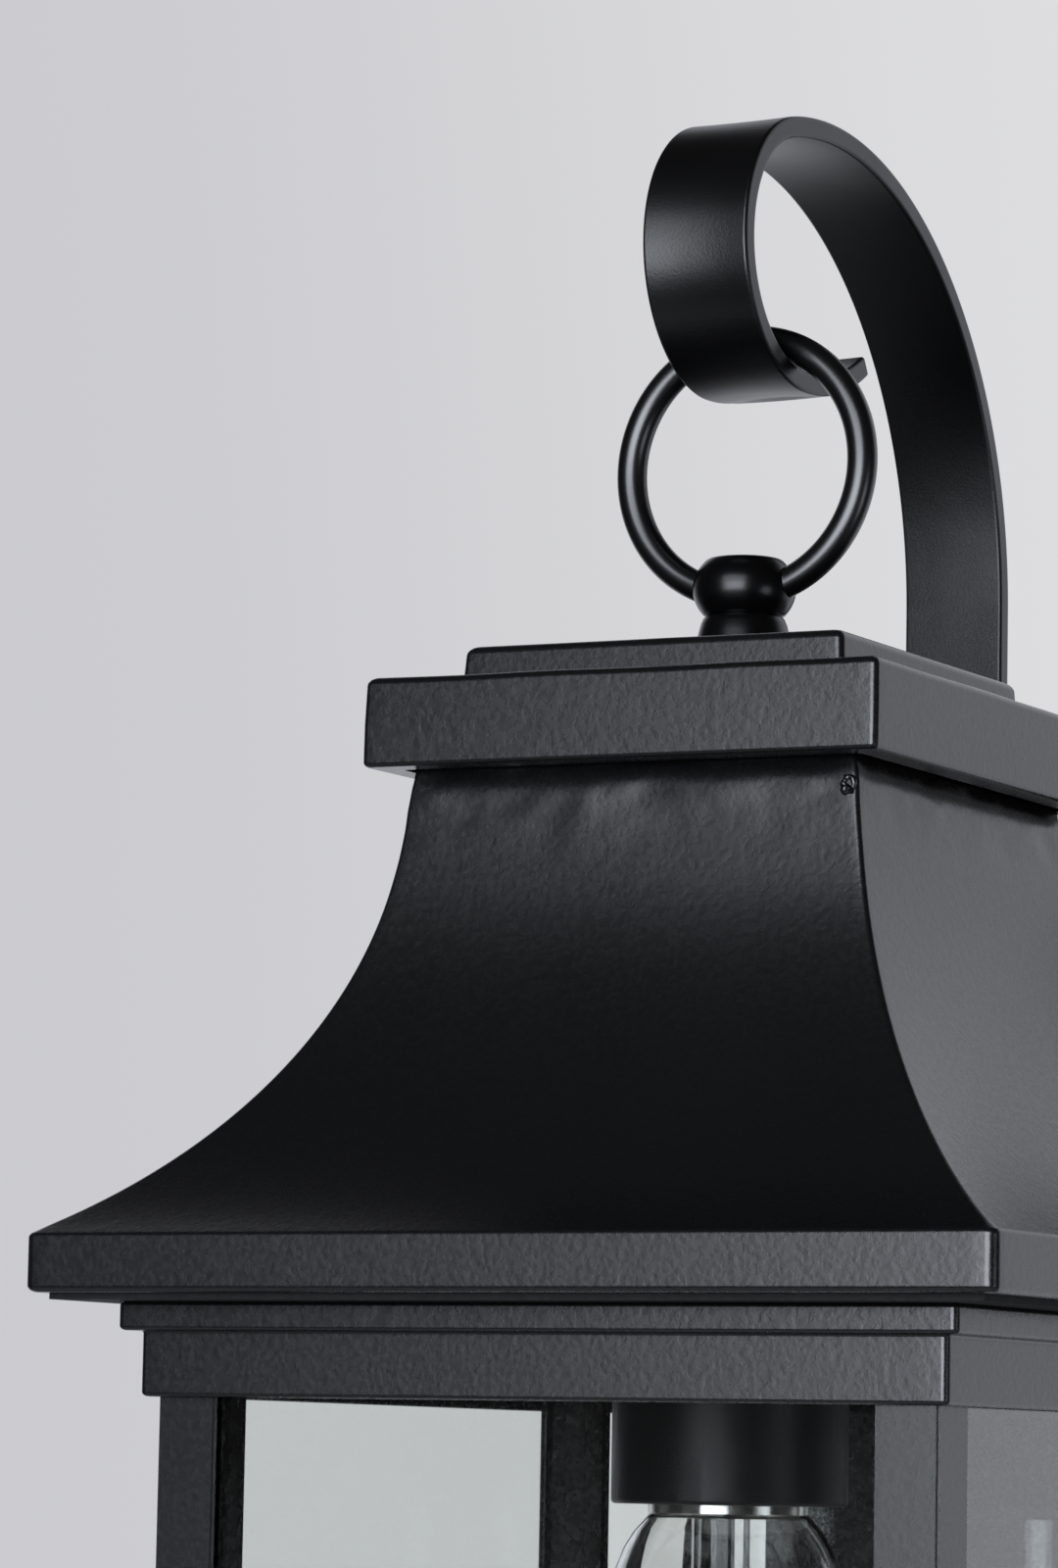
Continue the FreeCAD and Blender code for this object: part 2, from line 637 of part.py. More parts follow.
post_profile = [("post_inner", "post_inner"), ("groove_inner", "post_inner"),
                ("groove_inner", "groove_floor"), ("groove_outer", "groove_floor"),
                ("groove_outer", "post_inner"), ("post_half", "post_inner"),
                ("post_half", "post_half"), ("post_inner", "post_half"),
                ("post_inner", "groove_outer"), ("groove_floor", "groove_outer"),
                ("groove_floor", "groove_inner"), ("post_inner", "groove_inner")]
for corner, x, y, turn in CORNERS:
    bar = padded(f"{corner}_bar", "XY_Plane", post_profile, {}, "post_top - post_low", False,
                 ("0", "0", "post_low"), FreeCAD.Rotation(AXIS_Z, turn))
    top_tap = rod(f"{corner}_top_tap", "screw_hole", "post_screw_deep",
                  post_spot(x, y, "post_top - post_screw_deep"))
    low_tap = rod(f"{corner}_low_tap", "screw_hole", "post_screw_deep", post_spot(x, y, "post_low"))
    node(cut(f"{corner}_cut", bar, [top_tap, low_tap]), f"{corner}_post")


def pane(side, across, out):
    """A pane from the foot frame up into the top band; across and out are its spans along X and Y."""
    sheet_of_glass = block(f"{side}_pane", (across[0], out[0], "post_low"), (across[1], out[1], "glass_top"))
    node(sheet_of_glass, f"{side}_glass")


glass_wide = ("-glass_half", "glass_half")
glass_far = ("glass_outer - glass_thick", "glass_outer")
glass_near = ("-glass_outer", "glass_thick - glass_outer")
pane("front", glass_wide, glass_near)
pane("rear", glass_wide, glass_far)
pane("left", glass_near, glass_wide)
pane("right", glass_far, glass_wide)

node(cut("foot_cut", square("foot_block", "band_half", "cage_low", "cage_low + foot_tall"), [
    square("foot_pocket", "pocket_half", "post_low", "cage_low + foot_tall + past"),
    square("foot_opening", "foot_mouth", "cage_low - past", "post_low + past"),
    *corner_rods("foot_hole", "screw_hole", "cage_low - past", "post_low + past")]), "bottom_frame")
node(group("top_screw_set", corner_screws("top_screw", "post_screw_long", "0", DOWN)), "top_screws")
node(group("low_screw_set", corner_screws("low_screw", "foot_screw_long", "cage_low", UP)), "bottom_screws")

# Centre pipe, bridge and lamp holder.
pipe_top = "top_top + collar_bore - fit_gap"
pipe_solid = rod("pipe_solid", "pipe_radius", f"{pipe_top} - pipe_low", ("0", "0", "pipe_low"))
pipe_hollow = rod("pipe_hollow", "pipe_bore", f"{pipe_top} - pipe_low + 2 * past",
                  ("0", "0", "pipe_low - past"))
node(cut("pipe_cut", pipe_solid, [pipe_hollow]), "centre_pipe")
bridge_profile = [("-bridge_foot", "0"), ("-bridge_leg", "0"), ("-bridge_leg", "bridge_web"),
                  ("bridge_leg", "bridge_web"), ("bridge_leg", "0"), ("bridge_foot", "0"),
                  ("bridge_foot", "bridge_thick"), ("bridge_half", "bridge_thick"),
                  ("bridge_half", "bridge_tall"), ("-bridge_half", "bridge_tall"),
                  ("-bridge_half", "bridge_thick"), ("-bridge_foot", "bridge_thick")]
node(cut("bridge_cut", padded("bridge_strip", "XZ_Plane", bridge_profile, {}, "bridge_wide", True), [
    axis_hole("bridge_pipe_hole", "bridge_web - past", "bridge_tall + past"),
    *bridge_rods("bridge_tap", "-bridge_thick", "2 * bridge_thick")]), "socket_bridge")
bridge_screws = [screw(f"bridge_screw_{i}", "screw_radius", "bridge_screw_long", "screw_head",
                       "screw_head_tall", (f"{x} * bridge_screw", "0", "bridge_thick"), turn=DOWN)
                 for i, x in enumerate(SIDES)]
node(group("bridge_screw_set", bridge_screws), "bridge_screws")
pipe_nuts = [hex_nut(name, "pipe_nut_radius", "pipe_nut_tall", "pipe_hole", ("0", "0", height))
             for name, height in (("bridge_nut", "bridge_tall"), ("cup_nut", "cup_ceiling - pipe_nut_tall"))]
node(group("pipe_nut_set", pipe_nuts), "pipe_nuts")
cup_profile = [("cup_bore", "cup_low"), ("cup_radius", "cup_low"), ("cup_radius", "cup_top"),
               ("pipe_hole", "cup_top"), ("pipe_hole", "cup_ceiling"), ("cup_bore", "cup_ceiling")]
node(turned("cup_turned", cup_profile, {}), "socket_cup")
holder_profile = [("holder_bore", "holder_low"), ("holder_radius", "holder_low"),
                  ("holder_radius", "holder_top"), ("pipe_hole", "holder_top"),
                  ("pipe_hole", "holder_pipe_floor"), ("0", "holder_pipe_floor"),
                  ("0", "holder_bore_top"), ("holder_bore", "holder_bore_top")]
node(turned("holder_turned", holder_profile, {}), "lamp_holder")
shell_profile = [("shell_bore", "shell_low"), ("shell_radius", "shell_low"),
                 ("shell_radius", "holder_bore_top"), ("shell_bore", "holder_bore_top")]
node(turned("shell_turned", shell_profile, {}), "screw_shell")
tongue = rod("tongue", "tongue_radius", "holder_bore_top - tongue_low", ("0", "0", "tongue_low"))
node(tongue, "holder_contact")

# Clear bulb, cap upwards.
lamp_cap_profile = [("lamp_cap_bore", "lamp_cap_low"), ("lamp_cap_radius", "lamp_cap_low"),
                    ("lamp_cap_radius", "lamp_cap_shoulder"), ("lamp_cap_lip", "lamp_cap_top"),
                    ("lamp_cap_lip_bore", "lamp_cap_top"), ("lamp_cap_bore", "lamp_cap_inner_shoulder")]
node(turned("lamp_cap_turned", lamp_cap_profile, {}), "bulb_cap")
insulator_profile = [("0", "insulator_low"), ("insulator_radius", "insulator_low"),
                     ("insulator_radius", "lamp_cap_top"), ("button_radius", "button_low"),
                     ("0", "button_low")]
node(turned("insulator_turned", insulator_profile, {}), "bulb_insulator")
button = rod("button", "button_radius", "tongue_low - button_low", ("0", "0", "button_low"))
node(button, "bulb_contact")
glass_profile = [("inner_bulb_neck", "bulb_neck_top"), ("inner_bulb_neck", "lamp_cap_clear"),
                 ("inner_bulb_rim", "inner_bulb_rim_low"), ("inner_bulb_shoulder", "bulb_shoulder_low"),
                 ("inner_bulb_tangent", "inner_bulb_tangent_low"), ("0", "inner_bulb_end"),
                 ("0", "bulb_end"), ("bulb_tangent", "bulb_tangent_low"),
                 ("bulb_shoulder", "bulb_shoulder_low"), ("bulb_rim", "bulb_rim_low"),
                 ("bulb_neck", "lamp_cap_clear"), ("bulb_neck", "bulb_neck_top")]
glass_bends = {2: ("inner_bulb_round", -1), 4: ("inner_bulb", -1),
               6: ("bulb_radius", 1), 8: ("bulb_shoulder_round", 1)}
node(turned("bulb_blown", glass_profile, glass_bends), "bulb_glass")
stem_profile = [("0", "stem_top"), ("0", "stem_rod_low"), ("stem_rod", "stem_rod_low"),
                ("stem_rod", "stem_low"), ("stem_radius", "stem_low"), ("stem_radius", "stem_waist"),
                ("stem_flare", "stem_top")]
node(turned("stem_turned", stem_profile, {}), "bulb_stem")
lead_bend = doc.addObject("Part::Torus", "lead_bend")
lead_bend.setExpression("Radius1", in_sheet("lead_half"))
lead_bend.setExpression("Radius2", in_sheet("lead_radius"))
at(lead_bend, "0", "0", "lead_low", turn=BACK)
lead_clip = block("lead_clip", ("-bulb_radius", "-bulb_radius", "lead_low"),
                  ("bulb_radius", "bulb_radius", "stem_low"))
leads = [rod(f"lead_{i}", "lead_radius", "stem_low - lead_low", (f"{x} * lead_half", "0", "lead_low"))
         for i, x in enumerate(SIDES)]
node(join("filament_wire", [cut("lead_hoop", lead_bend, [lead_clip]), *leads]), "bulb_filament")


# Back plate: a pressed pan, rounded on its front, on a foam gasket.
def along_y(edge):
    """True for an edge that runs straight out from the wall."""
    return edge.BoundBox.XLength < TOUCH and edge.BoundBox.ZLength < TOUCH


def pan(name, wide, tall, deep, corner, front):
    """A block on the wall side with rounded corners and a rounded front edge."""
    base = block(name + "_block", (f"-({wide}) / 2", f"-gasket_thick - ({deep})", f"-({tall}) / 2"),
                 (f"({wide}) / 2", "-gasket_thick", f"({tall}) / 2"), WALL)
    sides = rounded(name + "_corners", base, corner, along_y)
    doc.recompute()
    face = base.Shape.BoundBox.YMin
    return rounded(name, sides, front, lambda edge: edge.BoundBox.YLength < TOUCH
                   and abs(edge.BoundBox.YMin - face) < TOUCH)


def stud_rods(name, radius):
    """Holes for the two studs, right through the wall fixing."""
    return [rod(f"{name}_{i}", radius, "plate_front + 2 * past",
                (f"{x} * stud_half", "-plate_front - past", "0"), WALL, BACK) for i, x in enumerate(SIDES)]


plate_solid = pan("plate_solid", "plate_wide", "plate_tall", "plate_deep", "plate_corner", "plate_round")
plate_hollow = pan("plate_hollow", "plate_wide - 2 * plate_thick", "plate_tall - 2 * plate_thick",
                   "plate_inside", "inner_corner", "inner_round")
plate_arm_holes = [rod(f"plate_arm_hole_{i}", bar_screw_hole, "3 * bar_thick",
                       ("0", "bar_front", z), turn=BACK) for i, z in enumerate(bar_screw_spots)]
node(cut("plate_cut", plate_solid, [
    plate_hollow, *stud_rods("plate_stud_hole", "stud_hole"), *plate_arm_holes,
    *neck_rods("plate_neck_hole", "screw_hole", "bar_front", "bar_back + bar_thick"),
    neck_wire_way("plate_wire", "bar_front", "bar_back + bar_thick")]), "back_plate")


def gasket_block(name, inset, low, high, corner):
    """A slab on the wall with the back plate's outline, less an inset."""
    base = block(name + "_block", (f"-plate_wide / 2 + {inset}", low, f"-plate_tall / 2 + {inset}"),
                 (f"plate_wide / 2 - {inset}", high, f"plate_tall / 2 - {inset}"), WALL)
    return rounded(name, base, corner, along_y)


gasket_solid = gasket_block("gasket_solid", "0", "-gasket_thick", "0", "plate_corner")
gasket_mouth = gasket_block("gasket_mouth", "gasket_wide", "-gasket_thick - past", "past", "plate_round")
node(cut("gasket_cut", gasket_solid, [gasket_mouth]), "wall_gasket")

# Neck between the back plate and the top frame, screwed from both sides.
neck_solid = block("neck_solid", ("-neck_wide / 2", "band_half", "neck_low"),
                   ("neck_wide / 2", "bar_back", "neck_high"))
node(cut("neck_cut", neck_solid, [
    *neck_rods("neck_tap", "screw_hole", "band_half - past", "bar_back + past"),
    neck_wire_way("neck_way", "band_half - past", "bar_back + past")]), "neck_block")


def neck_screws(name, head_at, turn):
    return [screw(f"{name}_{i}", "screw_radius", "neck_screw_long", "screw_head", "screw_head_tall",
                  (f"{x} * neck_screw", head_at, "neck_middle"), turn=turn) for i, x in enumerate(SIDES)]


node(group("neck_screw_set", [*neck_screws("cage_screw", "pocket_half", BACK),
                              *neck_screws("plate_screw", "bar_back + plate_thick", FRONT)]), "neck_screws")


# Crossed straps for the junction box, with the studs and cap nuts that hold the back plate.
def strap_middle(name):
    """The hole for the ground screw."""
    return rod(name, "screw_hole", "4 * strap_thick", ("0", "-3 * strap_thick", "0"), WALL, BACK)


def slot(name, side):
    """A round-ended slot along Z for a box screw."""
    middle = f"{side} * box_slot_half"
    straight = "(box_slot_long / 2 - box_slot_radius)"
    ends = [rod(f"{name}_{i}", "box_slot_radius", "3 * strap_thick",
                ("0", "-2 * strap_thick", f"{middle} + {way} * {straight}"), WALL, BACK)
            for i, way in enumerate(SIDES)]
    bar = block(f"{name}_bar", ("-box_slot_radius", "-2 * strap_thick", f"{middle} - {straight}"),
                ("box_slot_radius", "strap_thick", f"{middle} + {straight}"), WALL)
    return [*ends, bar]


box_strap = block("box_strap_bar", ("-strap_wide / 2", "-strap_thick", "-box_strap_tall / 2"),
                  ("strap_wide / 2", "0", "box_strap_tall / 2"), WALL)
node(cut("box_strap_cut", box_strap, [strap_middle("box_strap_hole"), *slot("slot_low", -1),
                                      *slot("slot_high", 1)]), "box_strap")
stud_strap = block("stud_strap_bar", ("-stud_strap_wide / 2", "-2 * strap_thick", "-strap_wide / 2"),
                   ("stud_strap_wide / 2", "-strap_thick", "strap_wide / 2"), WALL)
node(cut("stud_strap_cut", stud_strap, [strap_middle("stud_strap_hole"),
                                        *stud_rods("stud_strap_tap", "stud_hole")]), "stud_strap")
node(screw("ground", "screw_radius", "ground_screw_long", "stud_head", "stud_head_tall",
           ("0", "-2 * strap_thick", "0"), WALL, BACK), "ground_screw")
plate_studs = [screw(f"stud_{i}", "stud_radius", "stud_long", "stud_head", "stud_head_tall",
                     (f"{x} * stud_half", "-strap_thick", "0"), WALL, FRONT) for i, x in enumerate(SIDES)]
node(group("stud_set", plate_studs), "plate_studs")
nut_profile = [("stud_hole", "0"), ("cap_nut_radius", "0"), ("cap_nut_radius", "cap_nut_straight"),
               ("0", "cap_nut_end"), ("0", "cap_nut_bore"), ("stud_hole", "cap_nut_bore")]
cap_nuts = [turned(f"cap_nut_{i}", nut_profile, {2: ("cap_nut_radius", 1)},
                   (f"{x} * stud_half", "-plate_front", "0"), WALL, FRONT) for i, x in enumerate(SIDES)]
node(group("cap_nut_set", cap_nuts), "cap_nuts")

doc.recompute()
for thing in doc.Objects:
    if "Invalid" in thing.State or "Error" in thing.State:
        raise RuntimeError(f"{thing.Name} did not build: {thing.State}")
os.makedirs("parts", exist_ok=True)
for thing in NODES:
    shape = thing.Shape
    if shape.isNull() or not shape.isValid() or not shape.Solids:
        raise RuntimeError(f"{thing.Label} has no valid solid")
    shape.exportStep(f"parts/{thing.Label}.step")
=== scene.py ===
import json
import math

import bmesh
import bpy
from bpy.props import FloatProperty, FloatVectorProperty, IntProperty, PointerProperty
from mathutils import Matrix, Vector, noise


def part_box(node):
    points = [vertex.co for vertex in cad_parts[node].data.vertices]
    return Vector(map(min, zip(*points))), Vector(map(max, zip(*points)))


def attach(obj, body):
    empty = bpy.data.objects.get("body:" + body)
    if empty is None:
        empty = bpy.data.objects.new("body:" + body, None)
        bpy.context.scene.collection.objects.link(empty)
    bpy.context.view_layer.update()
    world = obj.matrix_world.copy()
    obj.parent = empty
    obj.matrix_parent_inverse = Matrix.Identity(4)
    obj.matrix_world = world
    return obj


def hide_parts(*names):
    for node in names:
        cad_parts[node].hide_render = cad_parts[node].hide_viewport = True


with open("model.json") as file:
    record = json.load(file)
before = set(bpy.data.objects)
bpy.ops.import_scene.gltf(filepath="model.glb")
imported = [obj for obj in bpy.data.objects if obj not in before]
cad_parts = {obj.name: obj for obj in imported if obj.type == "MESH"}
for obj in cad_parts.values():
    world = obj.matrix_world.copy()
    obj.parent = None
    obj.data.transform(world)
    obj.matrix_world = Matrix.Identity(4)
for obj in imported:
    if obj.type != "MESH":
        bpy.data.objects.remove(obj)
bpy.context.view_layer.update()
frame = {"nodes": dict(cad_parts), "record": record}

bl_info = {
    "name": "Wall lantern",
    "version": (1, 0, 0),
    "blender": (4, 5, 0),
    "location": "3D View > Sidebar > Lantern",
    "description": "Dresses the bell-cast wall lantern with its finishes, bulb, glass and studio",
    "category": "Object",
}

NODES = frame["nodes"]


def node_box(name):
    low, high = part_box(name)
    return Vector(low), Vector(high)


ROOF_LOW, ROOF_HIGH = node_box("roof_shell")
AXIS_Y = (ROOF_LOW.y + ROOF_HIGH.y) / 2
EAVE_Z = ROOF_LOW.z
RING_TOP = node_box("hanging_ring")[1].z
ARM_LOW, ARM_HIGH = node_box("hook_arm")


def length(name, words, default):
    return FloatProperty(name=name, description=words, default=default, unit="LENGTH", precision=5)


def share(name, words, default):
    return FloatProperty(name=name, description=words, default=default, min=0.0, max=1.0, subtype="FACTOR")


def slope(name, words, default):
    return FloatProperty(name=name, description=words, default=default, precision=4)


def tilt(name, words, degrees):
    return FloatProperty(name=name, description=words, default=math.radians(degrees), subtype="ANGLE")


def power(name, words, default):
    return FloatProperty(name=name, description=words, default=default, min=0.0, unit="POWER")


def colour(name, words, default):
    return FloatVectorProperty(name=name, description=words, default=default, size=3, min=0.0, max=1.0,
                               subtype="COLOR")


class LanternSizes(bpy.types.PropertyGroup):
    """Sizes of the visible metalwork and glass."""

    sheet: length("Sheet", "Thickness of the roof and cap sheet", 0.0012)
    eave_half: length("Eave half width", "Half the width of the roof's skirt", ROOF_HIGH.x)
    skirt: length("Skirt", "Height of the upright skirt", 0.009)
    neck_half: length("Neck half width", "Half the width of the roof under the cap", 0.0401)
    neck_rise: length("Flare height", "Height at which the flare turns upright", 0.083)
    neck_top: length("Neck top", "Height of the roof's top", ROOF_HIGH.z - ROOF_LOW.z)
    neck_round: length("Neck rounding", "Radius of the bend under the cap", 0.0014)
    hip_round: length("Hip rounding", "Radius of the folded hips", 0.0009)
    skirt_round: length("Skirt corner", "Radius of the skirt's corners", 0.0018)
    hem_half: length("Hem half width", "Half the width of the hole inside the hem", 0.070)
    cap_half: length("Cap half width", "Half the width of the box cap", 0.0454)
    cap_top: length("Cap top", "Height of the box cap's top", 0.0992)
    cap_hole: length("Cap opening", "Half the width of the opening under the cap", 0.0405)
    cap_lean: slope("Cap lean", "Slope at which the cap sits on the roof", 0.0115)
    cap_drop: length("Cap drop", "How far the cap is pressed down on the roof", 0.0002)
    cap_lip: length("Cap lip", "How far the cap's walls hang below the roof's top", 0.0008)
    plate_half: length("Top plate half width", "Half the width of the plate on the cap", 0.034)
    plate_top: length("Top plate top", "Height of that plate's top", 0.105)
    plate_crown: length("Top plate crown", "How far that plate's face rises", 0.0004)
    pipe_hole: length("Pipe hole", "Radius of the hole for the centre pipe", 0.00485)
    bead_half: length("Bead half width", "Half the width of the finial's bead", 0.0085)
    bead_tall: length("Bead height", "Half the height the bead would have if it were whole", 0.0070)
    bead_rise: length("Bead middle", "Height of the bead's middle above the plate", 0.0128)
    step_half: length("Step half width", "Half the width of the top frame's step", 0.0718)
    band_half: length("Band half width", "Half the width of the top frame's band", 0.0691)
    post_half: length("Post half width", "From the axis to the outside of a post", 0.0669)
    post_wide: length("Post width", "Side of the square post", 0.0105)
    post_lip: length("Post lip", "Metal left outside the groove for the pane", 0.0011)
    groove_wide: length("Groove width", "Width of the groove for the pane", 0.0026)
    groove_deep: length("Groove depth", "Depth of the groove for the pane", 0.004)
    edge_round: length("Edge rounding", "Radius of the coated edges", 0.0007)
    ring_radius: length("Ring radius", "Radius of the ring's centre line", 0.0211)
    ring_rod: length("Ring rod", "Radius of the ring's rod", 0.002485)
    bar_thick: length("Bar thickness", "Thickness of the crook's flat bar", 0.0035)
    bend_radius: length("Bend radius", "Outer radius of the crook's large bend", 0.0715)
    curl_radius: length("Curl radius", "Outer radius of the crook's curl", 0.0229)
    tail_radius: length("Tail radius", "Outer radius of the curl's opening end", 0.045)
    bar_dish: length("Bar hollow", "Hollow of the bar's face across its width in the curl", 0.0005)
    bar_skew: slope("Curl skew", "Slope of the curl across its width", 0.04)
    seam_wave: length("Seam wave", "How far the weld pulls the sheet in and out under the cap", 0.00042)
    seam_roll: length("Seam roll", "How far the sheet rolls in at the weld under the cap", 0.0011)
    segments: IntProperty(name="Segments", description="Steps round a turned piece", default=96, min=24,
                          max=192)


class LanternFinish(bpy.types.PropertyGroup):
    """Colours and gloss of the finishes."""

    coat: colour("Coat", "Sand-textured black powder coat", (0.0042, 0.0043, 0.0046))
    coat_rough: share("Coat roughness", "Roughness of the powder coat", 0.27)
    coat_gloss: share("Coat gloss", "Specular level of the powder coat", 0.79)
    grain: length("Coat grain", "Size of the powder coat's grain", 0.0011)
    peel: length("Coat peel", "Height of the powder coat's orange peel", 0.000034)
    dust: length("Coat dust", "Height of the finest grain", 0.000011)
    hardware: colour("Hardware", "Smoother black on crook, ring and finial", (0.0014, 0.0014, 0.0016))
    hardware_rough: share("Hardware roughness", "Roughness of the smooth black", 0.34)
    hardware_gloss: share("Hardware gloss", "Specular level of the crook", 0.57)
    polished_rough: share("Polished roughness", "Roughness of the ring and the finial", 0.28)
    ring_gloss: share("Ring gloss", "Specular level of the ring", 1.0)
    finial_gloss: share("Finial gloss", "Specular level of the finial", 0.43)
    plastic: colour("Cup plastic", "Black plastic of the lamp-holder cup", (0.0045, 0.0046, 0.0049))
    plastic_rough: share("Cup roughness", "Roughness of the cup's plastic", 0.42)
    plastic_gloss: share("Cup gloss", "Specular level of the cup's plastic", 0.45)
    glass: colour("Pane glass", "Tint of the panes", (0.975, 0.998, 0.99))
    bulb: colour("Bulb glass", "Tint of the bulb", (0.985, 0.99, 0.985))


class LanternStudio(bpy.types.PropertyGroup):
    """Camera and studio."""

    lens: FloatProperty(name="Lens", description="Focal length on a 36 mm frame", default=129.157,
                        subtype="DISTANCE_CAMERA")
    yaw: tilt("Yaw", "How far round to the right the camera stands", 28.7523)
    pitch: tilt("Pitch", "How far the camera looks down; below 0 it looks up", -6.9924)
    roll: tilt("Roll", "How far the camera is tipped", 1.0637)
    away: length("Camera distance", "From the middle of the eave to the camera", 0.9072)
    aside: length("Camera aside", "How far the camera is moved to its own left", 0.03313)
    above: length("Camera above", "How far the camera is moved up in its own frame", 0.08505)
    # Painted light: the pale backdrop is darker on the left and lighter on the right, standing in for light
    # falling unevenly across the wall behind.
    backdrop: colour("Backdrop", "Pale background on the left", (0.60, 0.60, 0.625))
    backdrop_right: colour("Backdrop right", "Pale background on the right", (0.73, 0.73, 0.745))
    behind: colour("Behind the glass", "Lit wall as it shows through the panes", (0.70, 0.705, 0.715))
    wall: colour("Bright side", "Lit wall behind, as the metal mirrors it", (0.78, 0.795, 0.86))
    ceiling: colour("Ceiling", "Dimmer wall high above the lantern", (0.03, 0.03, 0.031))
    room: colour("Dim side", "Unlit room in front, as the metal mirrors it", (0.03, 0.03, 0.031))
    floor: colour("Floor", "Pale floor", (0.62, 0.62, 0.63))
    lamp_tint: colour("Lamp tint", "Cool white of the lamps", (0.87, 0.915, 1.0))
    key: power("Key lamp", "Power of the soft box in front", 15.0)
    glow: power("Key surround", "Power of the wide panel round the soft box", 41.0)
    fill: power("Fill lamp", "Power of the small soft box at the right", 1.5)


# Node trees


class Tree:
    """A small helper for building the nodes of a material or the world."""

    def __init__(self, owner, shader):
        owner.use_nodes = True
        self.owner = owner
        self.nodes = owner.node_tree.nodes
        self.links = owner.node_tree.links
        self.shader = self.nodes[shader]
        self.place = self.add("ShaderNodeTexCoord").outputs

    def feed(self, socket, value):
        """Link a socket to another one, or set it to a constant."""
        if isinstance(value, bpy.types.NodeSocket):
            self.links.new(value, socket)
        elif socket.type == "RGBA":
            socket.default_value = (*value, 1.0)
        else:
            socket.default_value = value

    def add(self, kind, **values):
        made = self.nodes.new(kind)
        for key, value in values.items():
            if key in made.inputs:
                self.feed(made.inputs[key], value)
            else:
                setattr(made, key, value)
        return made

    def noise(self, scale, detail=2.0, stretch=None):
        source = self.place["Object"]
        if stretch:
            source = self.add("ShaderNodeMapping", Vector=source, Scale=stretch).outputs["Vector"]
        return self.add("ShaderNodeTexNoise", Vector=source, Scale=scale, Detail=detail).outputs["Fac"]

    def ramp(self, source, band, result=(0.0, 1.0), kind="LINEAR"):
        made = self.add("ShaderNodeMapRange", interpolation_type=kind, Value=source)
        for key, value in zip(("From Min", "From Max", "To Min", "To Max"), (*band, *result)):
            made.inputs[key].default_value = value
        return made.outputs["Result"]

    def sums(self, operation, *values):
        made = self.add("ShaderNodeMath", operation=operation)
        for socket, value in zip(made.inputs, values):
            self.feed(socket, value)
        return made.outputs["Value"]

    def tone(self, source, dark, light):
        """A colour between two tones."""
        made = self.add("ShaderNodeMix", data_type="RGBA", Factor=source)
        low, high = (s for s in made.inputs if s.type == "RGBA")
        self.feed(low, dark)
        self.feed(high, light)
        return next(s for s in made.outputs if s.type == "RGBA")

    def bump(self, height, distance, under=None):
        made = self.add("ShaderNodeBump", Height=height, Distance=distance, Strength=1.0)
        if under is not None:
            self.feed(made.inputs["Normal"], under)
        return made.outputs["Normal"]

    def finish(self, **values):
        """Set or link the shader's own sockets."""
        for key, value in values.items():
            self.feed(self.shader.inputs[key.replace("_", " ")], value)
        return self.owner


def material_tree(name):
    return Tree(bpy.data.materials.new(name), "Principled BSDF")


def shade(base, factor):
    return tuple(c * factor for c in base)


def coat_material(name, finish, relief):
    """Powder coat: sand grain finer than the eye resolves, over a slow orange-peel ripple."""
    tree = material_tree(name)
    dust = tree.noise(scale=6.0 / finish.grain, detail=0.0)
    grain = tree.noise(scale=1.0 / finish.grain)
    ripple = tree.noise(scale=0.4 / finish.grain, detail=1.0)
    clouds = tree.noise(scale=22.0)
    patches = tree.ramp(clouds, (0.3, 0.7))
    sandy = tree.ramp(grain, (0.25, 0.75), (finish.coat_rough - 0.03, finish.coat_rough + 0.03))
    cloudy = tree.ramp(clouds, (0.2, 0.8), (-0.01, 0.01))
    slow = tree.bump(ripple, 0.6 * relief)
    fine = tree.bump(grain, relief, under=slow)
    return tree.finish(Base_Color=tree.tone(patches, shade(finish.coat, 0.9), shade(finish.coat, 1.1)),
                       Roughness=tree.sums("ADD", sandy, cloudy),
                       Normal=tree.bump(dust, finish.dust, under=fine),
                       Specular_IOR_Level=finish.coat_gloss)


def hardware_material(name, finish, satin, gloss, relief):
    """Smoother satin black of the crook, ring and finial."""
    tree = material_tree(name)
    grain = tree.noise(scale=2200.0)
    ripple = tree.noise(scale=160.0, detail=1.0)
    clouds = tree.noise(scale=35.0)
    base = tree.tone(clouds, shade(finish.hardware, 0.8), shade(finish.hardware, 1.2))
    return tree.finish(Base_Color=base,
                       Roughness=tree.ramp(clouds, (0.25, 0.75), (satin - 0.04, satin + 0.04)),
                       Normal=tree.bump(grain, relief, under=tree.bump(ripple, 2 * relief)),
                       Specular_IOR_Level=gloss)


def plastic_material(finish):
    """Finely grained black plastic with faint upright scuffs."""
    tree = material_tree("cup_plastic")
    grain = tree.noise(scale=2600.0)
    scuffs = tree.noise(scale=90.0, detail=3.0, stretch=(6.0, 6.0, 0.5))
    rubbed = tree.ramp(scuffs, (0.45, 0.75))
    rough = (finish.plastic_rough - 0.05, finish.plastic_rough + 0.08)
    return tree.finish(Base_Color=tree.tone(rubbed, finish.plastic, shade(finish.plastic, 1.7)),
                       Roughness=tree.ramp(scuffs, (0.3, 0.7), rough),
                       Normal=tree.bump(grain, 0.00004),
                       Specular_IOR_Level=finish.plastic_gloss)


def glass_material(name, tint, waviness):
    """Clear glass with the slightest waviness and haze."""
    tree = material_tree(name)
    waves = tree.noise(scale=18.0, detail=1.0)
    dust = tree.noise(scale=260.0, detail=3.0)
    return tree.finish(Base_Color=tree.tone(waves, tint, shade(tint, 0.985)),
                       Roughness=tree.ramp(dust, (0.45, 0.8), (0.0, 0.025)),
                       Normal=tree.bump(waves, waviness),
                       Transmission_Weight=1.0, IOR=1.53)


